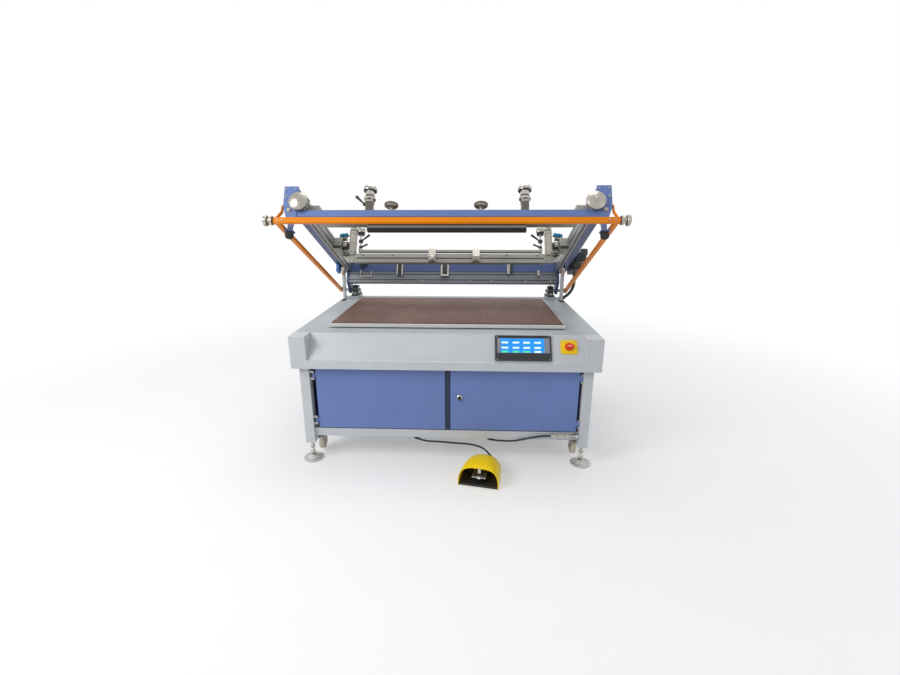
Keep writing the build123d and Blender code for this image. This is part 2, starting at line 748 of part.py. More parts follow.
arm_pieces = [arm_tube, arm_cap, front_plate_with_pin, bumper_flange.part]
keep(arm_pieces + [mirrored(piece) for piece in arm_pieces], "head_arms", on_head=True)

# Rubber bumpers that land on the table when the head shuts
with BuildPart() as bumpers:
    bumper_height = foot_flange_z - deck_top - bumper_lift
    add(turned((bumper_x, bumper_y, deck_top + bumper_lift), (0, 0, 1), [
        (bumper_radius - 8, 0), (bumper_radius - 1, 8), (bumper_radius, 14),
        (bumper_radius, bumper_height - 6), (bumper_radius - 4, bumper_height)]))
    add(mirrored(bumpers.part))
keep(bumpers.part, "bumpers", on_head=True)

# Cross bars of the head: front bar and rear beam
with BuildPart() as head_crossbars:
    bar_end = arm_inner_x - plate_overlap
    add(box_tube((-bar_end, front_bar_y + front_bar_side / 2, front_bar_bottom + front_bar_side / 2),
                 (1, 0, 0), 2 * bar_end, front_bar_side, front_bar_side, tube_wall))
    add(box_tube((-lug_inner_x, rear_beam_y + rear_beam_depth / 2, rear_beam_bottom + rear_beam_height / 2),
                 (1, 0, 0), 2 * lug_inner_x, rear_beam_depth, rear_beam_height, tube_wall))
keep(head_crossbars.part, "head_crossbars", on_head=True)


def slotted_rail(width, height, start, direction, length):
    """An aluminium profile with T-slots in its four faces."""
    side = (0, 1, 0) if direction[0] else (-1, 0, 0)
    with BuildPart() as rail:
        with BuildSketch(Plane(origin=start, x_dir=side, z_dir=direction)):
            Rectangle(width, height)
            for z in (-height / 4, height / 4):
                with Locations((-width / 2 + slot_depth / 2, z), (width / 2 - slot_depth / 2, z)):
                    Rectangle(slot_depth, slot_width, mode=Mode.SUBTRACT)
            with Locations((0, -height / 2 + slot_depth / 2)):
                Rectangle(slot_width, slot_depth, mode=Mode.SUBTRACT)
        extrude(amount=length)
    return rail.part


# Aluminium rails inside the arms, and the rear screen profile under the beam
with BuildPart() as arm_rails:
    rail_middle = rail_profile_bottom + rail_profile_height / 2
    rail_x = arm_inner_x - rail_profile_width / 2
    rail_length = rail_profile_rear - rail_profile_front
    add(slotted_rail(rail_profile_width, rail_profile_height,
                     (rail_x, rail_profile_front, rail_middle), (0, 1, 0), rail_length))
    with BuildSketch(Plane.XZ.offset(-rail_profile_front)):
        with Locations((handwheel_x, handwheel_z)):
            Circle(stem_radius + running)
    extrude(amount=-60, mode=Mode.SUBTRACT)
    add(mirrored(arm_rails.part))
    profile_height = rear_beam_bottom - rear_profile_bottom
    profile_y = rear_beam_y + 5 + rear_profile_depth / 2
    add(slotted_rail(rear_profile_depth, profile_height,
                     (-lug_inner_x, profile_y, rear_profile_bottom + profile_height / 2),
                     (1, 0, 0), 2 * lug_inner_x))
keep(arm_rails.part, "arm_rails", on_head=True)

# Hinge lugs with their shafts, and the clevises that the lift rods push on
with BuildPart() as lug_plate:
    with BuildSketch(Plane.YZ.offset(lug_inner_x)):
        with BuildLine():
            Polyline((rear_beam_y, rear_profile_bottom + 6), (rear_beam_y, arm_bottom + 52),
                     (arm_rear - 8, arm_bottom + 52), (arm_rear - 8, arm_bottom - 6),
                     (hinge_y + 32, hinge_z), (hinge_y - 30, hinge_z - 6), close=True)
        make_face()
        with Locations((hinge_y, hinge_z)):
            Circle(32)
    extrude(amount=lug_thickness)
lug_pieces = [lug_plate.part,
              rod((shaft_inner_x, hinge_y, hinge_z), (lug_inner_x, hinge_y, hinge_z), shaft_radius),
              rod((arm_inner_x, hinge_y, hinge_z), (safety_outer_x, hinge_y, hinge_z), shaft_radius)]
clevis_half = rod_end_width / 2 + clevis_gap
for x0 in (lift_x - clevis_half - clevis_plate, lift_x + clevis_half):
    with BuildPart() as clevis:
        with BuildSketch(Plane.YZ.offset(x0)):
            with Locations((pin_y, pin_z)):
                Circle(14)
            with Locations((pin_y, (pin_z + arm_bottom) / 2)):
                Rectangle(28, arm_bottom - pin_z)
            with Locations((pin_y, pin_z)):
                Circle(pin_radius, mode=Mode.SUBTRACT)
        extrude(amount=clevis_plate)
    lug_pieces.append(clevis.part)
pin_half = clevis_half + clevis_plate + 2
lug_pieces.append(rod((lift_x - pin_half, pin_y, pin_z), (lift_x + pin_half, pin_y, pin_z), pin_radius))
keep(lug_pieces + [mirrored(piece) for piece in lug_pieces], "hinge_lugs", on_head=True)

# Lift cylinders and rods, drawn along the line from foot to clevis with the head open
lift_reach = lift_pin_open - Vector(lift_x, lift_base_y, lift_base_z)
for side, name in ((-1, "left"), (1, "right")):
    base = Vector(side * lift_x, lift_base_y, lift_base_z)
    along = Vector(0, lift_reach.Y, lift_reach.Z)
    line = Plane(origin=base, x_dir=(1, 0, 0), z_dir=along)
    foot_plane = Plane(origin=base - Vector(rod_end_width / 2, 0, 0), x_dir=(0, 1, 0), z_dir=(1, 0, 0))
    with BuildPart() as lift_cylinder:
        with BuildSketch(line.offset(20)):
            Circle(barrel_radius)
        extrude(amount=barrel_length)
        with BuildSketch(line.offset(40)):
            Circle(barrel_bore)
        extrude(amount=barrel_length - 50, mode=Mode.SUBTRACT)
        with BuildSketch(line.offset(barrel_length - 20)):
            Circle(rod_radius + running)
        extrude(amount=60, mode=Mode.SUBTRACT)
        with BuildSketch(foot_plane):
            Circle(16)
        extrude(amount=rod_end_width)
        with BuildSketch(line):
            Rectangle(rod_end_width, 28)
        extrude(amount=21)
        with BuildSketch(foot_plane):
            Circle(pin_radius + running)
        extrude(amount=rod_end_width, mode=Mode.SUBTRACT)
    keep(lift_cylinder.part, f"lift_cylinder_{name}")
    top = lift_reach.length
    eye_plane = Plane(origin=base + along - Vector(rod_end_width / 2, 0, 0), x_dir=(0, 1, 0), z_dir=(1, 0, 0))
    with BuildPart() as lift_rod:
        with BuildSketch(line.offset(top - rod_length)):
            Circle(rod_radius)
        extrude(amount=rod_length - 48)
        with BuildSketch(line.offset(top - rod_length)):
            Circle(barrel_bore - running)
        extrude(amount=22)
        with BuildSketch(line.offset(top - 62)):
            RegularPolygon(14, 6, major_radius=False)
        extrude(amount=12)
        with BuildSketch(line.offset(top - 48)):
            Rectangle(rod_end_width, 34)
        extrude(amount=48)
        with BuildSketch(eye_plane):
            Circle(17)
        extrude(amount=rod_end_width)
        with BuildSketch(eye_plane):
            Circle(pin_radius + open_pivot_play)
        extrude(amount=rod_end_width, mode=Mode.SUBTRACT)
    keep(lift_rod.part, f"lift_rod_{name}")

# Safety bar: front tube, two side tubes with eyes on the shafts, and the front links
safety_centre = safety_bottom + safety_height / 2
safety_front_mid = safety_front_y + safety_tube / 2
side_tube_x = safety_outer_x - safety_tube / 2
knob_stub = 5.0
with BuildPart() as safety_side:
    side_front = safety_front_y + safety_tube
    with BuildSketch(Plane.YZ.offset(safety_outer_x - safety_tube)):
        with Locations((hinge_y, hinge_z)):
            Circle(safety_eye_radius)
        with BuildLine():
            Polyline((side_front, safety_centre - safety_tube / 2),
                     (hinge_y - 14, safety_centre - safety_tube / 2),
                     (hinge_y - 14, safety_centre + safety_tube / 2),
                     (side_front, safety_centre + safety_tube / 2), close=True)
        make_face()
        with Locations((hinge_y, hinge_z)):
            Circle(shaft_radius + running, mode=Mode.SUBTRACT)
    extrude(amount=safety_tube)
with BuildPart() as safety_link:
    with BuildSketch(Plane.YZ.offset(safety_outer_x)):
        with BuildLine():
            Polyline((safety_front_mid - link_width / 2, safety_centre - 6),
                     (safety_front_mid + link_width / 2, safety_centre - 10),
                     (link_top_y + link_width / 2, link_top_z - 30),
                     (link_top_y + link_width / 2, link_top_z + 10), (link_top_y, link_top_z + 16),
                     (link_top_y - link_width / 2, link_top_z + 10),
                     (link_top_y - link_width / 2, link_top_z - 24), close=True)
        make_face()
        with Locations((link_top_y, link_pin_z - link_play / 2)):
            SlotOverall(link_play + 2 * link_pin_radius + 3, 2 * (link_pin_radius + link_side_play),
                        rotation=90, mode=Mode.SUBTRACT)
        with Locations((safety_front_mid, safety_centre)):
            Circle(knob_stub + running, mode=Mode.SUBTRACT)
    extrude(amount=link_thickness)
with BuildPart() as safety_front:
    add(box_tube((-safety_outer_x, safety_front_mid, safety_centre), (1, 0, 0), 2 * safety_outer_x,
                 safety_tube, safety_height, 2.5))
    for side in (-1, 1):
        x0, x1 = sorted((side * safety_outer_x, side * (safety_outer_x - 30)))
        add(block(x0, x1, safety_front_y + 2, safety_front_y + safety_tube - 2,
                  safety_bottom + 2, safety_bottom + safety_height - 2))
    with BuildSketch(Plane.YZ.offset(-safety_outer_x)):
        with Locations((safety_front_mid, safety_centre)):
            Circle(knob_stub + running)
    extrude(amount=30, mode=Mode.SUBTRACT)
    with BuildSketch(Plane.YZ.offset(safety_outer_x - 30)):
        with Locations((safety_front_mid, safety_centre)):
            Circle(knob_stub + running)
    extrude(amount=30, mode=Mode.SUBTRACT)
keep([safety_front.part, safety_side.part, safety_link.part, mirrored(safety_side.part),
      mirrored(safety_link.part)], "safety_bar", on_head=True)

# Spool-shaped thumb knobs at the ends of the safety bar
for side, name in ((-1, "left"), (1, "right")):
    seat = safety_outer_x + link_thickness + 0.3
    knob = turned((side * seat, safety_front_mid, safety_centre), (side, 0, 0), [
        (knob_stub, -28), (knob_stub, 0), (26, 0), (26, 14), (15, 16), (15, 28), (28, 31), (31, 34),
        (31, 48), (26, 52), (0, 52)])
    keep(knob, f"safety_knob_{name}", on_head=True)

# Domed handwheels on the front ends of the rails
dome_foot = handwheel_radius - 2
dome_radius = (dome_foot ** 2 + dome_height ** 2) / (2 * dome_height)
for side, name in ((-1, "left"), (1, "right")):
    with BuildPart() as handwheel:
        with BuildSketch(Plane.XY):
            with BuildLine():
                outline = Polyline((0, -86), (stem_radius, -86), (stem_radius, 0), (24, 0), (24, 8), (34, 10),
                                   (dome_foot, 13), (handwheel_radius, 18), (dome_foot, 24))
                dome = RadiusArc((dome_foot, 24), (0, 24 + dome_height), -dome_radius)
                Line(dome @ 1, outline @ 0)
            make_face()
        revolve(axis=Axis.Y)
    wheel = handwheel.part.rotate(Axis.X, 180).moved(
        Location((side * handwheel_x, arm_front - end_plate - 2, handwheel_z)))
    keep(wheel, f"handwheel_{name}", on_head=True)

# Gear motor outside the right arm, with its terminal box and conduit gland
conduit_points = [(lift_x + 32.0, hinge_y - 42.0, deck_top + 19.0)]
for heading, back in conduit_bends:
    x, y, z = conduit_points[-1]
    step = conduit_run * Vector(cos(radians(heading)), 0, sin(radians(heading)))
    conduit_points.append((x + step.X, y + back, z + step.Z))
conduit_end = Vector(*conduit_points[-1])
gland_heading = (conduit_end - Vector(*conduit_points[-2])).normalized()
gland_foot = shut(tuple(conduit_end))
gland_head = shut(tuple(conduit_end + gland_heading * gland_length))
with BuildPart() as gearbox:
    add(block(arm_outer_x, motor_x + gearbox_reach, gearbox_front, gearbox_rear,
              motor_z - gearbox_half, motor_z + gearbox_half))
    fillet(gearbox.edges().filter_by(Axis.Y), radius=10)
motor_length = gearbox_front - motor_front
motor_body = turned((motor_x, motor_front, motor_z), (0, 1, 0), [
    (motor_radius - 8, 0), (motor_radius - 1, 5), (motor_radius, 12), (motor_radius, 34),
    (motor_radius - 3, 35), (motor_radius - 3, motor_length - 14),
    (motor_radius + 3, motor_length - 13), (motor_radius + 3, motor_length)])
with BuildPart() as terminal_box:
    add(block(motor_x + 10, motor_x + 64, motor_front + 40, motor_front + 130, motor_z + 30, motor_z + 82))
    chamfer(terminal_box.edges().filter_by(Axis.Y), length=6)
conduit_gland = rod(tuple(gland_foot), tuple(gland_head), conduit_radius + 0.5)
keep([gearbox.part, motor_body, terminal_box.part - motor_body, conduit_gland - gearbox.part],
     "drive_motor", on_head=True)


def trolley(y, z0, z1, reach):
    """A guide block that runs along the inner face of the right-hand rail."""
    edge = rail_profile_inner - trolley_gap
    with BuildPart() as guide:
        add(block(reach, edge, y - trolley_length / 2, y + trolley_length / 2, z0, z1))
        fillet(guide.edges().filter_by(Axis.X), radius=8)
        slot_z = rail_profile_bottom + rail_profile_height / 4
        tongue = slot_width / 2 - trolley_gap
        add(block(edge - 1, edge + slot_depth - 2, y - trolley_length / 2 + 10, y + trolley_length / 2 - 10,
                  slot_z - tongue, slot_z + tongue))
    return guide.part


# Front screen clamp: beam on two guide blocks, with a height post at each end of the bar
clamp_beam_top = clamp_beam_bottom + clamp_beam_side
knob_places = {"left": clamp_knob_left_x, "right": clamp_knob_right_x}
clamp_trolley = trolley(clamp_y, rail_profile_bottom - 12, rail_profile_bottom + 70, trolley_inner_x)
with BuildPart() as clamp_post:
    with BuildSketch(Plane.XY.offset(clamp_beam_top)):
        with Locations((clamp_post_x, clamp_y)):
            RectangleRounded(clamp_post_side, clamp_post_side, 7)
            Circle(guide_rod_radius + running, mode=Mode.SUBTRACT)
    extrude(amount=clamp_post_top - clamp_beam_top)
with BuildPart() as clamp_beam:
    add(block(-trolley_inner_x, trolley_inner_x, clamp_y - clamp_beam_side / 2, clamp_y + clamp_beam_side / 2,
              clamp_beam_bottom, clamp_beam_top))
    with BuildSketch(Plane.XY.offset(clamp_beam_bottom)):
        with Locations((-clamp_post_x, clamp_y), (clamp_post_x, clamp_y)):
            Circle(guide_rod_radius + running)
    extrude(amount=clamp_beam_side, mode=Mode.SUBTRACT)
    with BuildSketch(Plane.XY.offset(clamp_beam_bottom)):
        with Locations(*[(x, clamp_y) for x in knob_places.values()]):
            Circle(7 + running)
    extrude(amount=clamp_beam_side, mode=Mode.SUBTRACT)
lever_z = clamp_post_top - 24.0
lever_x = -clamp_post_x - clamp_post_side / 2
lever_hole = rod((lever_x, clamp_y, lever_z), (lever_x + 12, clamp_y, lever_z), lever_stub + running)
keep([clamp_beam.part, clamp_trolley, clamp_post.part, mirrored(clamp_trolley),
      mirrored(clamp_post.part) - lever_hole],
     "clamp_carrier", on_head=True)

# Clamp bar: channel with a rubber strip, hung from two guide rods
bar_top = clamp_bar_bottom + clamp_bar_height
strip_top = clamp_bar_bottom + clamp_pad_height
with BuildPart() as clamp_channel:
    add(block(-clamp_bar_half, clamp_bar_half, clamp_y - clamp_bar_depth / 2, clamp_y + clamp_bar_depth / 2,
              strip_top, bar_top))
    chamfer(clamp_channel.edges().group_by(Axis.Z)[-1].filter_by(Axis.X), length=5)
clamp_strip = block(-clamp_bar_half, clamp_bar_half, clamp_y - clamp_bar_depth / 2 + 5,
                    clamp_y + clamp_bar_depth / 2 - 5, clamp_bar_bottom, strip_top)
guide_rods = [rod((x, clamp_y, bar_top), (x, clamp_y, clamp_post_top - 20), guide_rod_radius)
              for x in (-clamp_post_x, clamp_post_x)]
keep([clamp_channel.part, clamp_strip] + guide_rods, "clamp_bar", on_head=True)

# Knurled height caps on the posts, and mushroom clamp knobs on the beam
for side, name in ((-1, "left"), (1, "right")):
    cap = turned((side * clamp_post_x, clamp_y, clamp_post_top + 0.3), (0, 0, 1), [
        (guide_rod_radius, -14), (guide_rod_radius, 0), (34, 0), (37, 3), (37, 15), (34, 18), (29, 20),
        (29, 56), (32, 58), (42, 62), (43, 66), (43, 80),
        (40, 88), (26, 92), (0, 93)])
    keep(cap, f"height_cap_{name}", on_head=True)
for name, x in knob_places.items():
    with BuildPart() as clamp_knob:
        add(turned((x, clamp_y, clamp_beam_bottom + 8), (0, 0, 1), [
            (7, 0), (7, clamp_beam_side - 7.7), (13, clamp_beam_side - 7.7), (13, clamp_beam_side - 2),
            (10, clamp_beam_side), (10, 108), (22, 112), (clamp_knob_radius - 6, 116),
            (clamp_knob_radius, 121), (clamp_knob_radius, 136), (clamp_knob_radius - 5, 141),
            (14, 145), (0, 146)]))
    keep(clamp_knob.part, f"clamp_knob_{name}", on_head=True)

# Lock lever on the left post
with BuildPart() as lock_lever:
    add(rod((lever_x - 0.3, clamp_y, lever_z), (lever_x - 16, clamp_y, lever_z), 12))
    add(rod((lever_x - 0.3, clamp_y, lever_z), (lever_x + 10, clamp_y, lever_z), lever_stub))
    with BuildSketch(Plane(origin=(lever_x - 10, clamp_y, lever_z), x_dir=(0, 1, 0), z_dir=(-0.72, 0, 0.69))):
        SlotOverall(18, 12)
    extrude(amount=72, taper=2)
keep(lock_lever.part, "lock_lever", on_head=True)

# Squeegee carriage: cross beam, side brackets on guide blocks and an air cylinder column each side
beam_top = squeegee_beam_bottom + squeegee_beam_height
bracket_x = squeegee_beam_half - 6.0
squeegee_trolley = trolley(squeegee_y, rail_profile_bottom - 14, rail_profile_bottom + 78, trolley_inner_x)
with BuildPart() as squeegee_bracket:
    with BuildSketch(Plane.XZ.offset(-squeegee_y - 8)):
        with BuildLine():
            Polyline((squeegee_beam_half, squeegee_beam_bottom + 4),
                     (squeegee_beam_half + 60, squeegee_beam_bottom + 4),
                     (trolley_inner_x, rail_profile_bottom - 20), (trolley_inner_x, rail_profile_bottom + 60),
                     (squeegee_beam_half + 60, rail_profile_bottom + 60), (squeegee_beam_half, beam_top + 30),
                     close=True)
        make_face()
    extrude(amount=16)
with BuildPart() as squeegee_column:
    with BuildSketch(Plane.XY.offset(beam_top - 4)):
        with Locations((column_x, squeegee_y)):
            RectangleRounded(column_side, column_side, 6)
    extrude(amount=column_top - beam_top + 4)
    add(turned((column_x, squeegee_y, column_top), (0, 0, 1), [
        (17, -2), (17, 6), (25, 9), (25, 30), (21, 34), (0, 35)]))
column_and_bracket = squeegee_bracket.part + squeegee_column.part
with BuildPart() as squeegee_beam:
    add(block(-squeegee_beam_half, squeegee_beam_half, squeegee_y - squeegee_beam_depth / 2,
              squeegee_y + squeegee_beam_depth / 2, squeegee_beam_bottom, beam_top))
    with BuildSketch(Plane.XY.offset(squeegee_beam_bottom)):
        with Locations((-lift_rod_x, squeegee_y), (lift_rod_x, squeegee_y)):
            Circle(lift_rod_small + running)
    extrude(amount=squeegee_beam_height, mode=Mode.SUBTRACT)
keep([squeegee_beam.part, squeegee_trolley, column_and_bracket, mirrored(squeegee_trolley),
      mirrored(column_and_bracket)], "squeegee_carriage", on_head=True)

# Squeegee bar: tie bar on two guide rods, with the clamp blocks that hold the blade
rod_top = tie_bottom + rod_rise
tie_end = lift_rod_x + 12.0
hanger_y = squeegee_y - squeegee_beam_depth / 2 - 4
bar_pieces = []
for x in (-lift_rod_x, lift_rod_x):
    for z0, z1 in ((squeegee_beam_bottom + 10, tie_bottom), (tie_bottom + tie_height, rod_top)):
        bar_pieces.append(rod((x, squeegee_y, z0), (x, squeegee_y, z1), lift_rod_small))
bar_pieces.append(block(-tie_end, tie_end, squeegee_y - tie_depth / 2, squeegee_y + tie_depth / 2,
                        tie_bottom, tie_bottom + tie_height))
for x in (block_left_x, block_right_x):
    with BuildPart() as blade_clamp:
        with BuildSketch(Plane.YZ.offset(x - block_width / 2)):
            with BuildLine():
                Polyline((squeegee_y - tie_depth / 2, tie_bottom),
                         (squeegee_y - tie_depth / 2, tie_bottom + tie_height),
                         (hanger_y - 10, tie_bottom + tie_height), (hanger_y - 26, squeegee_beam_bottom + 40),
                         (hanger_y - 26, squeegee_beam_bottom + 2), (hanger_y, squeegee_beam_bottom + 2),
                         (hanger_y, tie_bottom), close=True)
            make_face()
        extrude(amount=block_width)
        add(turned((x, hanger_y - 25, squeegee_beam_bottom + 22), (0, -1, 0), [
            (5, -1), (5, 8), (13, 9), (13, 20), (10, 22)]))
    bar_pieces.append(blade_clamp.part)
keep(bar_pieces, "squeegee_bar", on_head=True)

# Stroke knobs and ratchet levers on the guide rods of the carriage
for side, name in ((-1, "left"), (1, "right")):
    with BuildPart() as stroke_knob:
        add(turned((side * lift_rod_x, squeegee_y, rod_top - 12), (0, 0, 1), [
            (15, 0), (15, 16), (22, 20), (24, 23), (24, 38), (20, 42), (0, 44)]))
        add(rod((side * lift_rod_x, squeegee_y, rod_top - 12), (side * lift_rod_x, squeegee_y, rod_top + 1),
                lift_rod_small + running), mode=Mode.SUBTRACT)
    keep(stroke_knob.part, f"stroke_knob_{name}", on_head=True)
    lever_base = tie_bottom + tie_height + 60
    with BuildPart() as ratchet_lever:
        with BuildSketch(Plane.XY.offset(lever_base)):
            with Locations((side * lift_rod_x, squeegee_y)):
                Circle(16)
                Circle(lift_rod_small + running, mode=Mode.SUBTRACT)
        extrude(amount=20)
        reach = Vector(-side * 0.82, -0.3, 0.5)
        root = Vector(side * lift_rod_x, squeegee_y, lever_base + 10) + reach * 14
        with BuildSketch(Plane(origin=tuple(root), x_dir=(0, 1, 0), z_dir=tuple(reach))):
            SlotOverall(16, 10)
        extrude(amount=66, taper=2)
    keep(ratchet_lever.part, f"ratchet_lever_{name}", on_head=True)

# Foot pedal: base, hooded guard open at the front, and a sprung treadle
pedal_place = Location((pedal_x, pedal_y, 0), (0, 0, pedal_turn))


hood_middle = pedal_depth * 0.45
hood_inner_rear = pedal_depth - pedal_wall


def hood_half(y, wall=0.0):
    """Half the hood's width at its foot, at a distance behind its mouth, outside or inside the wall."""
    return pedal_width / 2 - pedal_taper * (y / pedal_depth) ** 2 - wall


def hood_section(y, wall, corner):
    """The hood's section: upright sides that lean in to a flatter crown, highest behind the mouth."""
    shrink = y / pedal_depth
    half = hood_half(y, wall)
    crown = pedal_width * (0.37 - 0.125 * shrink) - wall / 2
    height = pedal_height * (0.86 + 0.56 * shrink - 0.72 * shrink ** 2) - wall
    with BuildSketch(Plane.XZ.offset(-y)) as section:
        with BuildLine():
            Polyline((-half, 0), (-half, height * 0.62), (-crown, height), (crown, height),
                     (half, height * 0.62), (half, 0), close=True)
        make_face()
        fillet(section.vertices().filter_by(lambda corner_point: corner_point.Z > 1), radius=corner)
    return section.sketch


with BuildPart() as pedal_guard:
    loft([hood_section(y, 0.0, 16) for y in (0.0, hood_middle, pedal_depth)], ruled=True)
    loft([hood_section(y, pedal_wall, 13) for y in (0.0, hood_middle, hood_inner_rear)], ruled=True,
         mode=Mode.SUBTRACT)
base_front = 6.0
base_rear = pedal_depth - 12.0
base_wall = pedal_wall + 0.02
middle_half = hood_half(hood_middle, base_wall)
front_half = hood_half(0, base_wall) + (middle_half - hood_half(0, base_wall)) * base_front / hood_middle
rear_half = middle_half + (hood_half(hood_inner_rear, base_wall) - middle_half) * (
    base_rear - hood_middle) / (hood_inner_rear - hood_middle)
with BuildPart() as pedal_base:
    with BuildSketch(Plane.XY):
        with BuildLine():
            Polyline((-front_half, base_front), (front_half, base_front), (middle_half, hood_middle),
                     (rear_half, base_rear), (-rear_half, base_rear), (-middle_half, hood_middle), close=True)
        make_face()
    extrude(amount=10)
    chamfer(pedal_base.edges().group_by(Axis.Z)[-1], length=3)
    for x in (-56, 48):
        with BuildSketch(Plane.YZ.offset(x)):
            with BuildLine():
                Polyline((treadle_pivot_y - 18, 9), (treadle_pivot_y - 10, treadle_pivot_z + 8),
                         (treadle_pivot_y + 10, treadle_pivot_z + 8), (treadle_pivot_y + 18, 9), close=True)
            make_face()
        extrude(amount=8)
    add(rod((-56, treadle_pivot_y, treadle_pivot_z), (56, treadle_pivot_y, treadle_pivot_z), 4))
keep(pedal_base.part.moved(pedal_place), "pedal_base")

with BuildPart() as pedal_treadle:
    with BuildSketch(Plane.YZ.offset(-42)):
        with BuildLine():
            Polyline((30, 44), (30, 52), (treadle_pivot_y, treadle_pivot_z + 10),
                     (treadle_pivot_y + 8, treadle_pivot_z), (treadle_pivot_y, treadle_pivot_z - 8), close=True)
        make_face()
        with Locations((treadle_pivot_y, treadle_pivot_z)):
            Circle(4 + running, mode=Mode.SUBTRACT)
    extrude(amount=84)
    with BuildSketch(Plane.XZ.offset(-30)):
        with Locations((0, 47)):
            Rectangle(20, 18)
    extrude(amount=-6)
keep(pedal_treadle.part.moved(pedal_place), "pedal_treadle")

# Cables: routes are chosen points, rounded with the largest arcs their runs allow
coupling_x = leg_inner_x - 177.0
coupling_y = 46.0
coupling_z = 208.0


def cable(points, radius, name):
    """A round cable along a route, with each arc as large as its two runs allow."""
    radii = []
    for before, corner, after in zip(points, points[1:], points[2:]):
        first = Vector(*corner) - Vector(*before)
        second = Vector(*after) - Vector(*corner)
        half_turn = radians(first.get_angle(second)) / 2
        radii.append(0.45 * min(first.length, second.length) / tan(half_turn))
    with BuildPart() as tube:
        with BuildLine() as route:
            FilletPolyline(*points, radius=radii)
        start = Vector(*points[1]) - Vector(*points[0])
        with BuildSketch(Plane(origin=points[0], z_dir=start)):
            Circle(radius)
        sweep()
    expected = route.wires()[0].length * Face.make_rect(1, 1).area * 3.14159265 * radius ** 2
    print(name, "length", round(route.wires()[0].length, 1), "radii", [round(r) for r in radii],
          "volume ratio", round(tube.part.volume / expected, 4))
    return tube.part


pedal_cable_points = [
    (-196, 81, 163), (-160, 80, 145), (-112, 76, 138), (-60, 70, 140), (-6, 66, 140), (50, 66, 134),
    (104, 72, 129), (158, 80, 120), (206, 78, 112), (246, 66, 102), (274, 42, 92), (286, 14, 86)]
supply_cable_points = [
    (286, 81, 163), (322, 78, 152), (372, 66, 158), (428, 58, 160), (482, 52, 172), (538, 48, 188),
    (coupling_x - 84, 46.5, 202), (coupling_x - 42, coupling_y, coupling_z),
    (coupling_x, coupling_y, coupling_z)]
keep(cable(conduit_points, conduit_radius, "motor_conduit"), "motor_conduit")

# Strain relief through the rear wall of the foot pedal's hood, in line with the cable's last run
relief_foot = Vector(*pedal_cable_points[-1])
relief_heading = (relief_foot - Vector(*pedal_cable_points[-2])).normalized()
strain_relief = rod(tuple(relief_foot), tuple(relief_foot + relief_heading * relief_length), cable_radius + 3)
keep(pedal_guard.part.moved(pedal_place) + strain_relief, "pedal_guard")

# Glands, the supply coupling by the right leg and the conduit elbow on the deck
with BuildPart() as cable_fittings:
    for points in (pedal_cable_points, supply_cable_points):
        first = Vector(*points[0])
        back = (first - Vector(*points[1])).normalized()
        add(rod((first.X, first.Y, rail_bottom), (first.X, first.Y, first.Z + 6), gland_radius))
        add(rod(tuple(first), tuple(first + back * 6), gland_radius - 3))
    add(turned((coupling_x, coupling_y, coupling_z), (1, 0, 0), [
        (8, 0), (12, 12), (14, 14), (14, 34), (11, 36), (11, 90), (14, 92), (14, 120), (11, 122),
        (11, 150), (15, 152), (15, leg_inner_x - coupling_x)]))
    elbow = Vector(*conduit_points[0])
    heading = (Vector(*conduit_points[1]) - elbow).normalized()
    add(rod(tuple(elbow - heading * 12), tuple(elbow), conduit_radius + 1.5))
    add(turned((elbow.X - 24, elbow.Y, deck_top), (0, 0, 1), [
        (17.5, 0), (17.5, 28), (14, 34), (8, 37), (0, 38)]))
keep(cable_fittings.part, "cable_fittings")

keep(cable(pedal_cable_points, cable_radius, "pedal_cable"), "pedal_cable")
keep(cable(supply_cable_points, cable_radius, "supply_cable"), "supply_cable")

# Centre the machine over its footprint, then write every piece
free_cables = ("pedal_cable", "supply_cable", "motor_conduit")
boxes = [part.bounding_box() for label, part in pieces.items() if label not in free_cables]
centre_x = (min(box.min.X for box in boxes) + max(box.max.X for box in boxes)) / 2
centre_y = (min(box.min.Y for box in boxes) + max(box.max.Y for box in boxes)) / 2
print("footprint centre", round(centre_x, 3), round(centre_y, 3), "pieces", len(pieces))
for label, part in pieces.items():
    placed = part.moved(Location((-centre_x, -centre_y, 0)))
    placed.label = label
    export_step(placed, f"parts/{label}.step")
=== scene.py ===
import math

import bmesh
import bpy
from mathutils import Matrix, Vector


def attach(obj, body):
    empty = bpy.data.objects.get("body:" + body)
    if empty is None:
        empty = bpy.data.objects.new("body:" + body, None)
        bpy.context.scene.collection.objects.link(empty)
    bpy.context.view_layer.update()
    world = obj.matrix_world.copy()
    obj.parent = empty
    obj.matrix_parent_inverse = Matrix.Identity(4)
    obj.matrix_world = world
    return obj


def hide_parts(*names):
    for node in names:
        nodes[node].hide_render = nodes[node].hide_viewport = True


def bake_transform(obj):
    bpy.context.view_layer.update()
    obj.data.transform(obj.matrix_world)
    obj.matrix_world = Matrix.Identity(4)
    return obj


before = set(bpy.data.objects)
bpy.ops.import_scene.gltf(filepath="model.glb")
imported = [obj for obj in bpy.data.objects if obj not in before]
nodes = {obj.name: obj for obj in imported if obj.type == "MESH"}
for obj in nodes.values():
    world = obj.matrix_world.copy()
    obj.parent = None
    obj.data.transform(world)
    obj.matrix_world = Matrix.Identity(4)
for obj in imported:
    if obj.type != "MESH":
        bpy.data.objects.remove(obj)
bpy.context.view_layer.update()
scene = bpy.context.scene

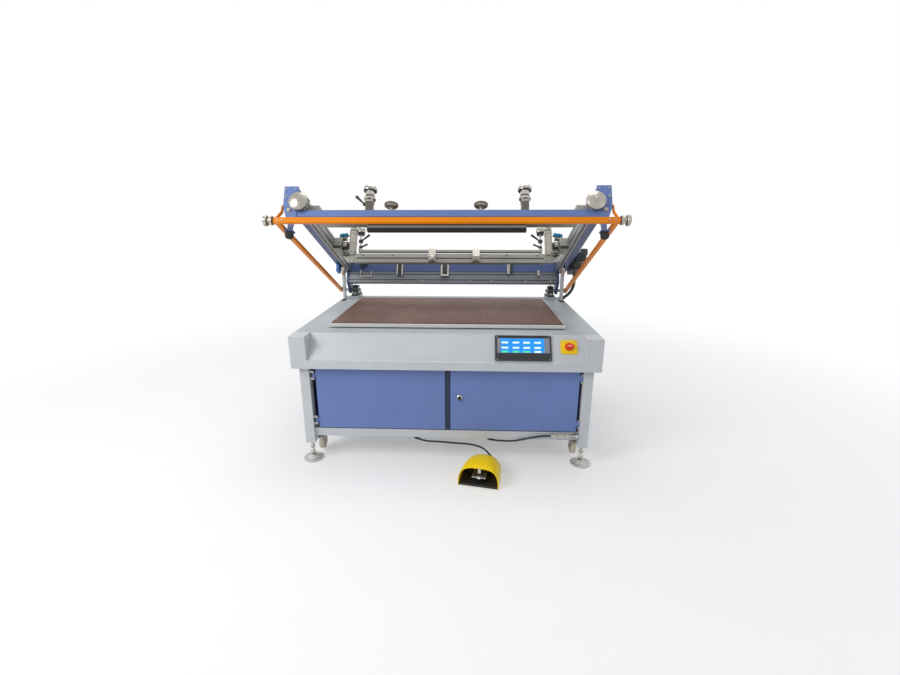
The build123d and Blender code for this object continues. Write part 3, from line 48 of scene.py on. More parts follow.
# Places that several pieces share, in drawing millimetres
SCREEN_X = 475
SWITCH_X, SWITCH_ALONG = 757, 96.6
SLOPE_FOOT_Y, SLOPE_FOOT_Z, SLOPE_RUN, SLOPE_RISE = 14, 716, 96, 149
POST_X, CLAMP_Y = 491, 161
COLUMN_X, ROD_X, CARRIAGE_Y = 726, 668, 681
WHEEL_X = 883
BEAM_FRONT = 1178
MOTOR_X, MOTOR_Z = 1030, 1111
PILLOW_X, HINGE_Y, HINGE_Z = 842, 1290, 935
FOOT_X, CASTOR_X = 885, 855
FRONT_WHEEL_Y, REAR_WHEEL_Y, WHEEL_Z = 191, 1235, 64
LIFT_X, CLEVIS_Y, CLEVIS_Z = 924, 1135, 1078
COUPLING = (678, 46, 208)
HOOD_DEPTH, HOOD_HALF, HOOD_HEIGHT = 235, 123, 142
SIDES = ((-1, "left"), (1, "right"))
UP = (0, 0, 1)
FRONT = (0, -1, 0)
OPEN_ANGLE = math.radians(26.5)
SLOPE_ANGLE = math.atan2(SLOPE_RISE, SLOPE_RUN)
SLOPE_OUT = (0, -math.sin(SLOPE_ANGLE), math.cos(SLOPE_ANGLE))

# Drawing millimetres to the row frame, for the table, for the head that is drawn shut, and for the pedal
TABLE = Matrix.Translation((-0.02585, -0.597327, 0)) @ Matrix.Scale(0.001, 4)
HINGE = Matrix.Translation((0, HINGE_Y, HINGE_Z))
HEAD = TABLE @ HINGE @ Matrix.Rotation(-OPEN_ANGLE, 4, "X") @ HINGE.inverted()
PEDAL = TABLE @ Matrix.Translation((210, -225, 0)) @ Matrix.Rotation(math.radians(-10.8), 4, "Z")


# Camera of the photograph
lens = bpy.data.cameras.new("camera")
lens.lens = 17.952
lens.sensor_width = 36
camera = bpy.data.objects.new("camera", lens)
scene.collection.objects.link(camera)
camera.location = TABLE @ Vector((148.1, -2576.2, 1600.5))
camera.rotation_euler = (
    Matrix.Rotation(math.radians(2.5), 3, "Z")
    @ Matrix.Rotation(math.radians(74.2), 3, "X")
    @ Matrix.Rotation(math.radians(-0.1), 3, "Z")
).to_euler()
scene.camera = camera
scene.view_settings.view_transform = "Standard"


# Shader graphs
def add(tree, kind, sockets=None, **settings):
    """A new shader node with its settings and sockets filled in; returns its outputs."""
    made = tree.nodes.new("ShaderNode" + kind)
    for key, value in settings.items():
        setattr(made, key, value)
    for key, value in (sockets or {}).items():
        if isinstance(value, bpy.types.NodeSocket):
            tree.links.new(value, made.inputs[key])
        else:
            made.inputs[key].default_value = value
    return made.outputs


def math_node(tree, operation, first, second=0.0):
    return add(tree, "Math", {0: first, 1: second}, operation=operation)[0]


def span(tree, value, low, high, to_low=0.0, to_high=1.0):
    """Maps a value from one range to another, held at the ends."""
    return add(tree, "MapRange", {
        "Value": value, "From Min": low, "From Max": high, "To Min": to_low, "To Max": to_high})[0]


def ramp(tree, value, *stops):
    """A colour ramp through (place, colour) stops."""
    made = tree.nodes.new("ShaderNodeValToRGB")
    elements = made.color_ramp.elements
    while len(elements) < len(stops):
        elements.new(0.5)
    for element, (place, colour) in zip(elements, stops):
        element.position = place
        element.color = (*colour, 1)
    tree.links.new(value, made.inputs[0])
    return made.outputs[0]


def mix(tree, amount, first, second):
    """Mixes two colours by an amount."""
    first, second = (value if isinstance(value, bpy.types.NodeSocket) else (*value, 1) for value in (first, second))
    return add(tree, "Mix", {0: amount, 6: first, 7: second}, data_type="RGBA")[2]


def noise(tree, where, scale, detail=3.0, rough=0.5):
    return add(tree, "TexNoise", {"Vector": where, "Scale": scale, "Detail": detail, "Roughness": rough})[0]


def tone(colour, factor):
    return tuple(min(1.0, channel * factor) for channel in colour)


def new_material(name):
    made = bpy.data.materials.new(name)
    made.use_nodes = True
    return made, made.node_tree, made.node_tree.nodes["Principled BSDF"]


def surface(name, colour, rough=(0.35, 0.5), metal=0.0, grain=700.0, bump=0.06, drift=0.05, edge=0.0012,
            worn=None, wear=0.5, brushed=None, tilt=0.0, gloss=0.5):
    """A material with colour drift, grain, rounded and worn edges, and brushing where it is asked for."""
    made, tree, shader = new_material(name)
    shader.inputs["Metallic"].default_value = metal
    shader.inputs["Specular IOR Level"].default_value = gloss
    where = add(tree, "TexCoord")["Object"]
    fine_where = where
    if brushed is not None:
        fine_where = add(tree, "Mapping", {
            "Vector": where, "Rotation": (tilt, 0, 0), "Scale": brushed}, vector_type="TEXTURE")[0]
        grain = 1.0
    broad = noise(tree, where, 5.0, 4.0, 0.6)
    fine = noise(tree, fine_where, grain, 3.0, 0.6)
    smudge = noise(tree, where, 38.0, 5.0, 0.65)
    base = ramp(tree, broad, (0.3, tone(colour, 1 - drift)), (0.7, tone(colour, 1 + drift)))
    if brushed is not None:
        base = mix(tree, span(tree, fine, 0.35, 0.65, 0.0, 0.16), base, tone(colour, 0.55))
    roughness = span(tree, smudge, 0.3, 0.7, *rough)
    rounded = add(tree, "Bevel", {"Radius": edge}, samples=4)[0]
    if worn is not None:
        facing = add(tree, "VectorMath", {0: rounded, 1: add(tree, "NewGeometry")["Normal"]},
                     operation="DOT_PRODUCT")["Value"]
        chips = math_node(tree, "MULTIPLY", span(tree, facing, 0.985, 0.8),
                          span(tree, noise(tree, where, 120.0, 4.0, 0.7), 0.46, 0.62))
        base = mix(tree, math_node(tree, "MULTIPLY", chips, wear), base, worn)
    tree.links.new(base, shader.inputs["Base Color"])
    tree.links.new(roughness, shader.inputs["Roughness"])
    relief = add(tree, "Bump", {"Strength": bump, "Distance": 0.0004, "Height": fine, "Normal": rounded})[0]
    tree.links.new(relief, shader.inputs["Normal"])
    return made


grey = surface("grey_paint", (0.54, 0.565, 0.6), (0.3, 0.46), worn=(0.36, 0.37, 0.38), wear=0.35, drift=0.035)
# A darker, bluer copy of the grey paint: a painted reflection on the deck top and painted shade in the gap under the
# bed plate
grey_painted_shade_and_reflection = surface("grey_painted_shade_and_reflection", (0.4, 0.45, 0.475), (0.3, 0.45), worn=(0.3, 0.31, 0.32), wear=0.3, drift=0.06,
                    gloss=0.3)
blue = surface("blue_paint", (0.125, 0.2, 0.47), (0.3, 0.45), worn=(0.3, 0.33, 0.4), wear=0.4)
blue_bright = surface("blue_bracket_paint", (0.03, 0.17, 0.5), (0.3, 0.45), worn=(0.3, 0.33, 0.4), wear=0.4)
# A near-black copy of the blue paint for the post between the doors: painted shade in the door gap
blue_painted_gap_shade = surface("blue_post_painted_gap_shade", (0.008, 0.019, 0.06), worn=(0.2, 0.22, 0.28), wear=0.3)
# A darker copy of the blue paint for the arms, the rear crossbar and the hinge lugs: painted shade
blue_painted_shade = surface("arm_blue_painted_shade", (0.052, 0.082, 0.225), (0.3, 0.45), worn=(0.3, 0.33, 0.4), wear=0.45)
orange = surface("orange_paint", (0.83, 0.245, 0.004), (0.3, 0.45), worn=(0.5, 0.2, 0.04), wear=0.4, gloss=0.2)
yellow = surface("yellow_shell", (0.96, 0.66, 0.0), (0.28, 0.42), grain=420, edge=0.003, drift=0.03, gloss=0.25)
yellow_flat = surface("yellow_plate", (0.93, 0.64, 0.012), (0.3, 0.42), grain=900, bump=0.04, gloss=0.25)
red = surface("red_knob", (0.8, 0.07, 0.025), (0.28, 0.42), grain=600, bump=0.05, edge=0.0015, gloss=0.3)
bed_metal = surface("bed_aluminium", (0.7, 0.69, 0.68), (0.34, 0.46), 0.35, brushed=(0.25, 0.0012, 0.0012),
                    bump=0.05, edge=0.001)
rail_metal = surface("rail_aluminium", (0.36, 0.375, 0.37), (0.34, 0.46), 0.8,
                     brushed=(0.0015, 0.3, 0.0015), tilt=-OPEN_ANGLE, bump=0.08, edge=0.0015)
bar_metal = surface("bar_aluminium", (0.34, 0.335, 0.305), (0.34, 0.46), 0.75, brushed=(0.3, 0.0015, 0.0015),
                    bump=0.08, edge=0.0015)
profile_metal = surface("profile_aluminium", (0.17, 0.185, 0.205), (0.38, 0.5), 0.7, brushed=(0.3, 0.0015, 0.0015),
                        edge=0.0015)
chrome = surface("chrome", (0.5, 0.485, 0.445), (0.1, 0.2), 1.0, grain=260, bump=0.006, drift=0.03, edge=0.0008)
nickel = surface("satin_nickel", (0.4, 0.38, 0.335), (0.24, 0.38), 1.0, grain=240, bump=0.01, drift=0.06, edge=0.001)
steel = surface("steel", (0.42, 0.42, 0.43), (0.3, 0.48), 0.9, grain=500, bump=0.08, edge=0.0008,
                worn=(0.3, 0.24, 0.18), wear=0.25)
# Nickel darkened for the clamp posts: a painted dark reflection
nickel_painted_dark_reflection = surface("nickel_painted_dark_reflection", (0.13, 0.12, 0.105), (0.26, 0.4), 1.0, grain=240, bump=0.01, drift=0.1,
                      edge=0.001)
cast_grey = surface("cast_grey", (0.62, 0.62, 0.62), (0.42, 0.6), 0.3, grain=260, bump=0.2, edge=0.0015,
                    worn=(0.2, 0.17, 0.14))
black = surface("black_plastic", (0.018, 0.018, 0.02), (0.4, 0.6), grain=600, bump=0.12, edge=0.001)
black_gloss = surface("black_gloss", (0.014, 0.015, 0.018), (0.1, 0.25), grain=900, bump=0.03, edge=0.0015)
iron = surface("black_iron", (0.02, 0.034, 0.03), (0.35, 0.55), 0.1, grain=220, bump=0.35, edge=0.002,
               worn=(0.16, 0.16, 0.15))
motor_grey = surface("motor_paint", (0.035, 0.038, 0.045), grain=320, bump=0.2, edge=0.0015,
                     worn=(0.15, 0.15, 0.15))
rubber = surface("rubber", (0.016, 0.016, 0.017), (0.6, 0.8), grain=420, bump=0.2, edge=0.001)
nylon = surface("wheel_nylon", (0.72, 0.66, 0.53), grain=350, bump=0.1, edge=0.0015,
                worn=(0.35, 0.31, 0.25))
brass = surface("brass", (0.7, 0.52, 0.26), (0.2, 0.35), 1.0, grain=900, bump=0.05, edge=0.0006)
air_blue = surface("air_fitting_blue", (0.02, 0.28, 0.5), (0.25, 0.4), bump=0.05, edge=0.0008)
cable_black = surface("cable_black", (0.014, 0.014, 0.015), (0.42, 0.58), grain=500, bump=0.12, edge=0.0005)
white_mark = surface("white_mark", (0.85, 0.85, 0.83), bump=0.03)


def vacuum_sheet_material():
    """Brown laminate with streaks along its length and a grid of small vacuum holes."""
    made = surface("phenolic_sheet", (0.15, 0.078, 0.056), (0.34, 0.5), grain=500, bump=0.05, drift=0.14, gloss=0.12,
                   edge=0.0008, worn=(0.3, 0.19, 0.13), wear=0.6)
    tree = made.node_tree
    shader = tree.nodes["Principled BSDF"]
    base = shader.inputs["Base Color"].links[0].from_socket
    where = add(tree, "TexCoord")["Object"]
    streak = noise(tree, add(tree, "Mapping", {"Vector": where, "Scale": (0.35, 0.012, 0.1)},
                             vector_type="TEXTURE")[0], 1.0, 4.0, 0.65)
    base = mix(tree, span(tree, streak, 0.38, 0.62, 0.0, 0.6), base, (0.085, 0.047, 0.037))
    haze = noise(tree, where, 2.2, 3.0)
    base = mix(tree, span(tree, haze, 0.42, 0.72, 0.0, 0.35), base, (0.26, 0.18, 0.15))
    axes = add(tree, "SeparateXYZ", {0: where})
    offsets = [math_node(tree, "SUBTRACT", math_node(tree, "FRACT", math_node(
        tree, "MULTIPLY", math_node(tree, "ADD", axes[axis], 10.0), 50.0)), 0.5) for axis in (0, 1)]
    squares = [math_node(tree, "MULTIPLY", offset, offset) for offset in offsets]
    distance = math_node(tree, "SQRT", math_node(tree, "ADD", squares[0], squares[1]))
    hole = span(tree, distance, 0.075, 0.05)
    top = span(tree, axes[2], 0.8985, 0.8993)
    base = mix(tree, math_node(tree, "MULTIPLY", hole, top), base, (0.012, 0.009, 0.008))
    tree.links.new(base, shader.inputs["Base Color"])
    return made


sheet_brown = vacuum_sheet_material()


def lit_material(name, colour, strength):
    """A patch of a lit screen with a faint raster."""
    made, tree, shader = new_material(name)
    where = add(tree, "TexCoord")["Object"]
    glow = ramp(tree, noise(tree, where, 14.0, 2.0), (0.3, tone(colour, 0.88)), (0.7, tone(colour, 1.1)))
    tree.links.new(glow, shader.inputs["Base Color"])
    tree.links.new(glow, shader.inputs["Emission Color"])
    shader.inputs["Emission Strength"].default_value = strength
    shader.inputs["Roughness"].default_value = 0.12
    fine = noise(tree, where, 2500.0, 1.0)
    tree.links.new(add(tree, "Bump", {"Strength": 0.02, "Distance": 0.0001, "Height": fine})[0],
                   shader.inputs["Normal"])
    return made


screen_blue = lit_material("screen_blue", (0.0, 0.2, 0.62), 0.75)
screen_white = lit_material("screen_white", (0.62, 0.8, 0.9), 0.6)
screen_green = lit_material("screen_green", (0.06, 0.62, 0.32), 0.6)
screen_grey = lit_material("screen_grey", (0.2, 0.22, 0.26), 0.1)


# Free cords on the routes of the drawing
def route(*points):
    return [TABLE @ Vector(point) for point in points]


PEDAL_ROUTE = route(
    (-196, 81, 163), (-160, 80, 145), (-112, 76, 138), (-60, 70, 140), (-6, 66, 140), (50, 66, 134),
    (104, 72, 129), (158, 80, 120), (206, 78, 112), (246, 66, 102), (274, 42, 92), (286, 14, 86))
SUPPLY_ROUTE = route(
    (286, 81, 163), (322, 78, 152), (372, 66, 158), (428, 58, 160), (482, 52, 172), (538, 48, 188),
    (594, 46.5, 202), (636, 46, 208), (678, 46, 208))
CONDUIT_ROUTE = route(
    (956, 1248, 884), (986.903, 1264, 900.432), (1012.913, 1279, 923.851), (1032.485, 1292, 952.867),
    (1044.456, 1303, 985.757), (1048.114, 1310, 1020.565), (1045.673, 1310, 1055.48))


def route_curve(name, points, radius=0.0):
    """A smooth curve on the points of a route, with a round section where a radius is given."""
    line = bpy.data.curves.new(name, "CURVE")
    line.dimensions = "3D"
    line.resolution_u = 12
    line.bevel_depth = radius
    line.bevel_resolution = 6
    line.use_fill_caps = radius > 0
    spline = line.splines.new("NURBS")
    spline.points.add(len(points) - 1)
    for point, place in zip(spline.points, points):
        point.co = (*place, 1)
    spline.order_u = 3
    spline.use_endpoint_u = True
    made = bpy.data.objects.new(name, line)
    scene.collection.objects.link(made)
    return made


def route_points(points):
    """Points read from the smooth curve of a route."""
    curve = route_curve("route_line", points)
    line = bpy.data.meshes.new_from_object(curve)
    places = [vertex.co.copy() for vertex in line.vertices]
    bpy.data.objects.remove(curve)
    return places


# Mesh pieces, drawn in millimetres
# Scratch shapes to draw in; solid() empties the one that it is given
shape, dark, bright, coloured = (bmesh.new() for _ in range(4))


def solid(name, drawn, place, material, angle=35.0):
    """Turns a drawn shape into an object of one material."""
    drawn.transform(place)
    bmesh.ops.recalc_face_normals(drawn, faces=drawn.faces)
    mesh = bpy.data.meshes.new(name)
    drawn.to_mesh(mesh)
    drawn.clear()
    mesh.shade_smooth()
    mesh.set_sharp_from_angle(angle=math.radians(angle))
    mesh.materials.append(material)
    made = bpy.data.objects.new(name, mesh)
    scene.collection.objects.link(made)
    return made


def round_edges(made, width, limit=40):
    """Rounds the sharp edges of an object by a width in millimetres."""
    rounding = made.modifiers.new("edges", "BEVEL")
    rounding.width = width / 1000
    rounding.segments = 2
    rounding.limit_method = "ANGLE"
    rounding.angle_limit = math.radians(limit)


def piece(name, drawn, place, body, material, width=0.0, angle=35.0):
    """Turns a drawn shape into an object that rides on a body; width rounds its edges."""
    made = solid(name, drawn, place, material, angle)
    if width:
        round_edges(made, width)
    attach(made, body)
    return made


def axis_frame(base, axis):
    """A matrix whose Z runs along an axis from a base point."""
    return Matrix.Translation(base) @ Vector(axis).to_track_quat("Z", "Y").to_matrix().to_4x4()


def skin(drawn, rings, closed=True):
    """Joins neighbouring rings of points with faces."""
    for low, high in zip(rings, rings[1:]):
        for step in range(len(low) if closed else len(low) - 1):
            after = (step + 1) % len(low)
            drawn.faces.new((low[step], low[after], high[after], high[step]))


def lathe(drawn, base, axis, outline, steps=32):
    """Adds a turned form: outline lists (radius, height) along the axis."""
    place = axis_frame(base, axis)
    rings = []
    for radius, height in outline:
        if radius <= 0:
            rings.append([drawn.verts.new(place @ Vector((0, 0, height)))])
            continue
        rings.append([drawn.verts.new(place @ Vector((
            radius * math.cos(2 * math.pi * step / steps), radius * math.sin(2 * math.pi * step / steps), height)))
            for step in range(steps)])
    for low, high in zip(rings, rings[1:]):
        if len(low) == len(high):
            skin(drawn, (low, high))
            continue
        for step in range(steps):
            after = (step + 1) % steps
            drawn.faces.new((low[0], high[after], high[step]) if len(low) == 1 else (low[step], low[after], high[0]))
    for ring in (rings[0], rings[-1]):
        if len(ring) > 1:
            drawn.faces.new(ring)


def prism(drawn, place, outline, low, high):
    """Adds a straight prism over a flat outline of (x, y) points, between two heights."""
    rings = [[drawn.verts.new(place @ Vector((x, y, height))) for x, y in outline] for height in (low, high)]
    skin(drawn, rings)
    drawn.faces.new(rings[0])
    drawn.faces.new(rings[1])


def block(drawn, x0, x1, y0, y1, z0, z1):
    prism(drawn, Matrix.Identity(4), [(x0, y0), (x1, y0), (x1, y1), (x0, y1)], z0, z1)


def side_block(drawn, side, near_x, far_x, *rest):
    """Adds a block on one side of the middle plane, between two distances from it."""
    x0, x1 = sorted((side * near_x, side * far_x))
    block(drawn, x0, x1, *rest)


def circle(radius, steps):
    return [(radius * math.cos(2 * math.pi * step / steps), radius * math.sin(2 * math.pi * step / steps))
            for step in range(steps)]


def corners(across, along):
    """The four corners of a rectangle round zero, by its half sizes."""
    return [(x, y) for x in (-across, across) for y in (-along, along)]


def rounded_rectangle(width, height, corner, steps=5):
    points = []
    for quarter, (x, y) in enumerate(((1, 1), (-1, 1), (-1, -1), (1, -1))):
        for step in range(steps + 1):
            turn = math.pi / 2 * (quarter + step / steps)
            points.append((x * (width / 2 - corner) + corner * math.cos(turn),
                           y * (height / 2 - corner) + corner * math.sin(turn)))
    return points


def knurl(drawn, base, axis, inner, outer, low, high, teeth):
    """Adds a toothed ring round a knob's rim."""
    outline = []
    for tooth in range(teeth):
        for share, radius in ((0.0, inner), (0.3, outer), (0.65, outer), (0.95, inner)):
            turn = 2 * math.pi * (tooth + share) / teeth
            outline.append((radius * math.cos(turn), radius * math.sin(turn)))
    prism(drawn, axis_frame(base, axis), outline, low, high)


def hex_bolt(drawn, base, axis, size):
    """Adds a washer and a hexagonal bolt head with a rounded crown."""
    lathe(drawn, base, axis, [(size * 1.15, -0.5), (size * 1.15, 1.4), (0, 1.4)], 24)
    prism(drawn, axis_frame(base, axis), circle(size * 0.92, 6), 1.2, 1.2 + size * 0.7)
    lathe(drawn, base, axis, [(size * 0.78, 1 + size * 0.6), (size * 0.74, 1.4 + size * 0.78), (0, 1.4 + size * 0.8)],
          24)


def button_screw(drawn, base, axis, radius):
    """Adds a domed screw head with a round drive recess."""
    lathe(drawn, base, axis, [
        (radius, -0.4), (radius, radius * 0.15), (radius * 0.85, radius * 0.4), (radius * 0.5, radius * 0.55),
        (radius * 0.45, radius * 0.5), (radius * 0.42, radius * 0.12), (0, radius * 0.1)], 20)


def slope_place(x, along, out):
    """A matrix on the sloping console panel: local X across, Y up the slope, Z out of it."""
    return (Matrix.Translation((x, SLOPE_FOOT_Y, SLOPE_FOOT_Z)) @ Matrix.Rotation(SLOPE_ANGLE, 4, "X")
            @ Matrix.Translation((0, along, out)))


# Cords
def tapered_relief(name, path):
    """A ribbed sleeve that narrows from the gland to the cable."""
    start, after = path[:2]
    radius, length, ribs = 6, 26, 6
    outline = [(0, -2)]
    for rib in range(ribs):
        wide = radius * (1.75 - 0.6 * rib / ribs)
        low = length * rib / ribs
        outline += [(wide, low), (wide, low + length * 0.6 / ribs),
                    (radius * 1.12, low + length * 0.68 / ribs), (radius * 1.12, low + length * 0.95 / ribs)]
    outline += [(radius * 1.05, length), (0, length)]
    lathe(shape, start * 1000, after - start, outline, 24)
    return piece(name, shape, Matrix.Scale(0.001, 4), "table", rubber)


pedal_relief = tapered_relief("pedal_cable_relief", PEDAL_ROUTE)
supply_relief = tapered_relief("supply_cable_relief", SUPPLY_ROUTE)
pedal_cable = route_curve("pedal_cable_line", PEDAL_ROUTE, 0.006)
supply_cable = route_curve("supply_cable_line", SUPPLY_ROUTE, 0.006)
for cable, node_name in ((pedal_cable, "pedal_cable"), (supply_cable, "supply_cable")):
    cable.data.materials.append(cable_black)
    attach(cable, "table")
    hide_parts(node_name)

conduit_path = route_points(CONDUIT_ROUTE)
conduit_radius, conduit_steps = 0.0125, 24
rings = []
side = Vector((0, 1, 0))
for index, place in enumerate(conduit_path):
    heading = conduit_path[min(index + 1, len(conduit_path) - 1)] - conduit_path[max(index - 1, 0)]
    heading.normalize()
    side = (side - heading * side.dot(heading)).normalized()
    other = heading.cross(side)
    rings.append([shape.verts.new(place + side * across + other * along)
                  for across, along in circle(conduit_radius, conduit_steps)])
skin(shape, rings)
shape.faces.new(rings[0])
shape.faces.new(rings[-1])
conduit = solid("conduit_tube", shape, Matrix.Identity(4), cable_black, 50)
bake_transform(conduit)
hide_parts("motor_conduit")


# Finishes of the CAD nodes, chosen by where a face lies in the drawing
def dress(name, default, *rules, on_head=False):
    """Gives a CAD node its material; each rule is (material, test of a face's centre in drawing millimetres)."""
    mesh = nodes[name].data
    mesh.materials.clear()
    mesh.materials.append(default)
    for material, _ in rules:
        mesh.materials.append(material)
    drawing = (HEAD if on_head else TABLE).inverted()
    for face in mesh.polygons:
        x, y, z = drawing @ face.center
        face.material_index = 0
        for index, (_, test) in enumerate(rules):
            if test(x, y, z):
                face.material_index = index + 1
                break


def near(x, y, cx, cy, radius):
    return math.hypot(x - cx, y - cy) < radius


for name, finish in (
        ("frame_legs", grey), ("console", grey), ("vacuum_sheet", sheet_brown), ("steel_brackets", steel),
        ("hmi_panel", black_gloss), ("switch_plate", yellow_flat), ("switch_knob", red), ("pedal_base", black),
        ("pedal_guard", yellow), ("pedal_treadle", steel), ("bumpers", rubber), ("safety_bar", orange),
        ("lock_lever", black)):
    dress(name, finish)
for _, side_name in SIDES:
    for name, finish in (
            ("castor_fork", steel), ("door", blue), ("lift_cylinder", nickel), ("lift_rod", chrome),
            ("safety_knob", nickel), ("handwheel", nickel), ("height_cap", chrome), ("clamp_knob", nickel),
            ("stroke_knob", chrome), ("ratchet_lever", black)):
        dress(f"{name}_{side_name}", finish)
    for end in ("front", "rear"):
        dress(f"foot_{end}_{side_name}", cast_grey, (chrome, lambda x, y, z: z > 34))
        dress(f"castor_wheel_{end}_{side_name}", nylon)
dress("frame_rails", grey, (blue, lambda x, y, z: 632 < z < 678 and y < 101))
# The post between the doors takes the near-black blue as painted shade in the door gap
dress("cabinet_panels", blue, (grey, lambda x, y, z: z < 232), (blue_painted_gap_shade, lambda x, y, z: 0 < x < 36 and y < 100))
# The deck top takes the darker grey as a painted reflection
dress("deck", grey, (grey_painted_shade_and_reflection, lambda x, y, z: z > 864.5))
# The bed plate's underside takes the darker grey as painted shade in the gap under it
dress("bed_plate", bed_metal, (grey_painted_shade_and_reflection, lambda x, y, z: z < 872.5))
dress("pillow_blocks", iron, (steel, lambda x, y, z: z > 907.2 and abs(abs(y - HINGE_Y) - 58) < 12.5),
      (steel, lambda x, y, z: z < 891.5))
dress("cable_fittings", steel, (black, lambda x, y, z: x < 300), (steel, lambda x, y, z: x < 880),
      (black, lambda x, y, z: x > 900))
# The arms take the darker blue as painted shade; the end plates keep the plain blue
dress("head_arms", blue_painted_shade, (steel, lambda x, y, z: abs(x) > 982.3), (blue, lambda x, y, z: y < 21), on_head=True)
# The rear crossbar takes the darker blue as painted shade
dress("head_crossbars", blue, (blue_painted_shade, lambda x, y, z: y > 1000), on_head=True)
dress("arm_rails", rail_metal, (profile_metal, lambda x, y, z: abs(x) < 863 and y > 1170), on_head=True)
# The hinge lugs take the darker blue as painted shade
dress("hinge_lugs", blue_painted_shade, (steel, lambda x, y, z: near(y, z, HINGE_Y, HINGE_Z, 13) and not 882 < abs(x) < 902),
      (steel, lambda x, y, z: near(y, z, CLEVIS_Y, CLEVIS_Z, 6.5)), on_head=True)
dress("drive_motor", motor_grey, (black, lambda x, y, z: z > 1138 and x > 1038), on_head=True)
dress("door_lock", chrome, (black_gloss, lambda x, y, z: y < 47.5))
# The clamp posts take the darkened nickel as a painted dark reflection
dress("clamp_carrier", bar_metal, (nickel_painted_dark_reflection, lambda x, y, z: abs(abs(x) - POST_X) < 25 and z > 1075.5),
      on_head=True)
dress("clamp_bar", bar_metal, (rubber, lambda x, y, z: z < 989.2), (chrome, lambda x, y, z: z > 1011.5),
      on_head=True)
dress("squeegee_carriage", bar_metal, (nickel, lambda x, y, z: abs(abs(x) - COLUMN_X) < 27 and z > 1030),
      on_head=True)
dress("squeegee_bar", bar_metal, (chrome, lambda x, y, z: near(abs(x), y, ROD_X, CARRIAGE_Y, 7.5)),
      (chrome, lambda x, y, z: y < 630), (nickel, lambda x, y, z: abs(x + 127) < 27 or abs(x - 195) < 27),
      on_head=True)


# Operator screen with plain keys, and the main switch
prism(shape, slope_place(480, 101, 11.7), rounded_rectangle(318, 94, 2), 0, 0.8)
piece("screen_strips", shape, TABLE, "table", screen_grey)
prism(shape, slope_place(SCREEN_X, 101, 12.2), rounded_rectangle(264, 90, 1.5), 0, 0.7)
piece("screen_field", shape, TABLE, "table", screen_blue)
for row, along in enumerate((119.6, 87.0, 62.0)):
    for column, across in enumerate((-106, -40, 25, 92)):
        target = coloured if row == 2 and column < 3 else bright
        prism(target, slope_place(SCREEN_X + across, along, 12.7), rounded_rectangle(40, 11, 3), 0, 0.6)
piece("screen_white_keys", bright, TABLE, "table", screen_white)
piece("screen_green_keys", coloured, TABLE, "table", screen_green)
for across, along in corners(158, 71):
    button_screw(shape, slope_place(479 + across, 85 + along, 11.8).translation, SLOPE_OUT, 3.2)
for across, along in corners(42, 36):
    button_screw(shape, slope_place(SWITCH_X + across, SWITCH_ALONG + along, 5.9).translation, SLOPE_OUT, 3.4)
piece("console_screws", shape, TABLE, "table", steel)
lathe(shape, slope_place(SWITCH_X, SWITCH_ALONG, 9.0).translation, SLOPE_OUT,
      [(31, -0.5), (31, 1.2), (27.5, 2.0), (26, 1.2), (26, -0.5)], 48)
piece("switch_collar", shape, TABLE, "table", yellow_flat)
prism(shape, slope_place(SWITCH_X, SWITCH_ALONG, 34.1), rounded_rectangle(22, 3.4, 1.5), 0, 0.7)
piece("switch_mark", shape, TABLE, "switch_knob", white_mark)


# Knurled rims and collars of the knobs
def part_of(body, part, material, place=HEAD, drawn=shape):
    """Adds a drawn part that is named after the moving body it sits on."""
    piece(f"{body}_{part}", drawn, place, body, material)


for side, name in SIDES:
    post = (side * POST_X, CLAMP_Y, 1184.3)
    clamp = (-352 if side < 0 else 216, CLAMP_Y, 1023)
    wheel = (side * WHEEL_X, 6, 1092)
    spool = (side * 990.3, -88, 930)
    stroke = (side * ROD_X, CARRIAGE_Y, 1176)
    out = (side, 0, 0)
    knurl(shape, post, UP, 42.3, 43.6, 67, 79, 60)
    knurl(shape, post, UP, 36.4, 37.6, 4, 14, 56)
    part_of(f"height_cap_{name}", "knurl", chrome)
    lathe(shape, post, UP, [(29, 21), (30.2, 22), (30.2, 29), (29, 30)], 48)
    lathe(shape, post, UP, [(35, 57.5), (41.5, 61.2), (43.1, 65.2), (42, 66.6), (30, 66)], 48)
    part_of(f"height_cap_{name}", "band", black_gloss)
    knurl(shape, clamp, UP, 42.6, 44.0, 122, 135, 44)
    part_of(f"clamp_knob_{name}", "grip", black_gloss)
    lathe(shape, clamp, UP, [(16, 144.6), (18, 146), (12, 147.6), (0, 148)], 40)
    part_of(f"clamp_knob_{name}", "cap", chrome)
    knurl(shape, wheel, FRONT, 56.4, 58.3, 14.5, 21.5, 72)
    lathe(shape, wheel, FRONT, [(9, 38), (13, 40.2), (12, 41), (6, 41.6), (0, 41.7)], 32)
    part_of(f"handwheel_{name}", "rim", nickel)
    knurl(shape, spool, out, 30.3, 31.5, 35.5, 46.5, 48)
    knurl(shape, spool, out, 25.3, 26.5, 2.5, 11.5, 40)
    part_of(f"safety_knob_{name}", "knurl", chrome)
    knurl(shape, stroke, UP, 29.0, 30.4, 25, 45, 44)
    lathe(shape, stroke, UP, [(20, 14), (28, 17), (30, 21), (30, 24.5), (24, 25)], 40)
    lathe(shape, stroke, UP, [(24, 45), (30, 45.5), (28, 51), (20, 54), (8, 56), (0, 56.3)], 40)
    part_of(f"stroke_knob_{name}", "rim", chrome)
    lathe(shape, stroke, UP, [(22, 1), (26, 2), (26, 13), (22, 14.5)], 40)
    part_of(f"stroke_knob_{name}", "collar", black_gloss)

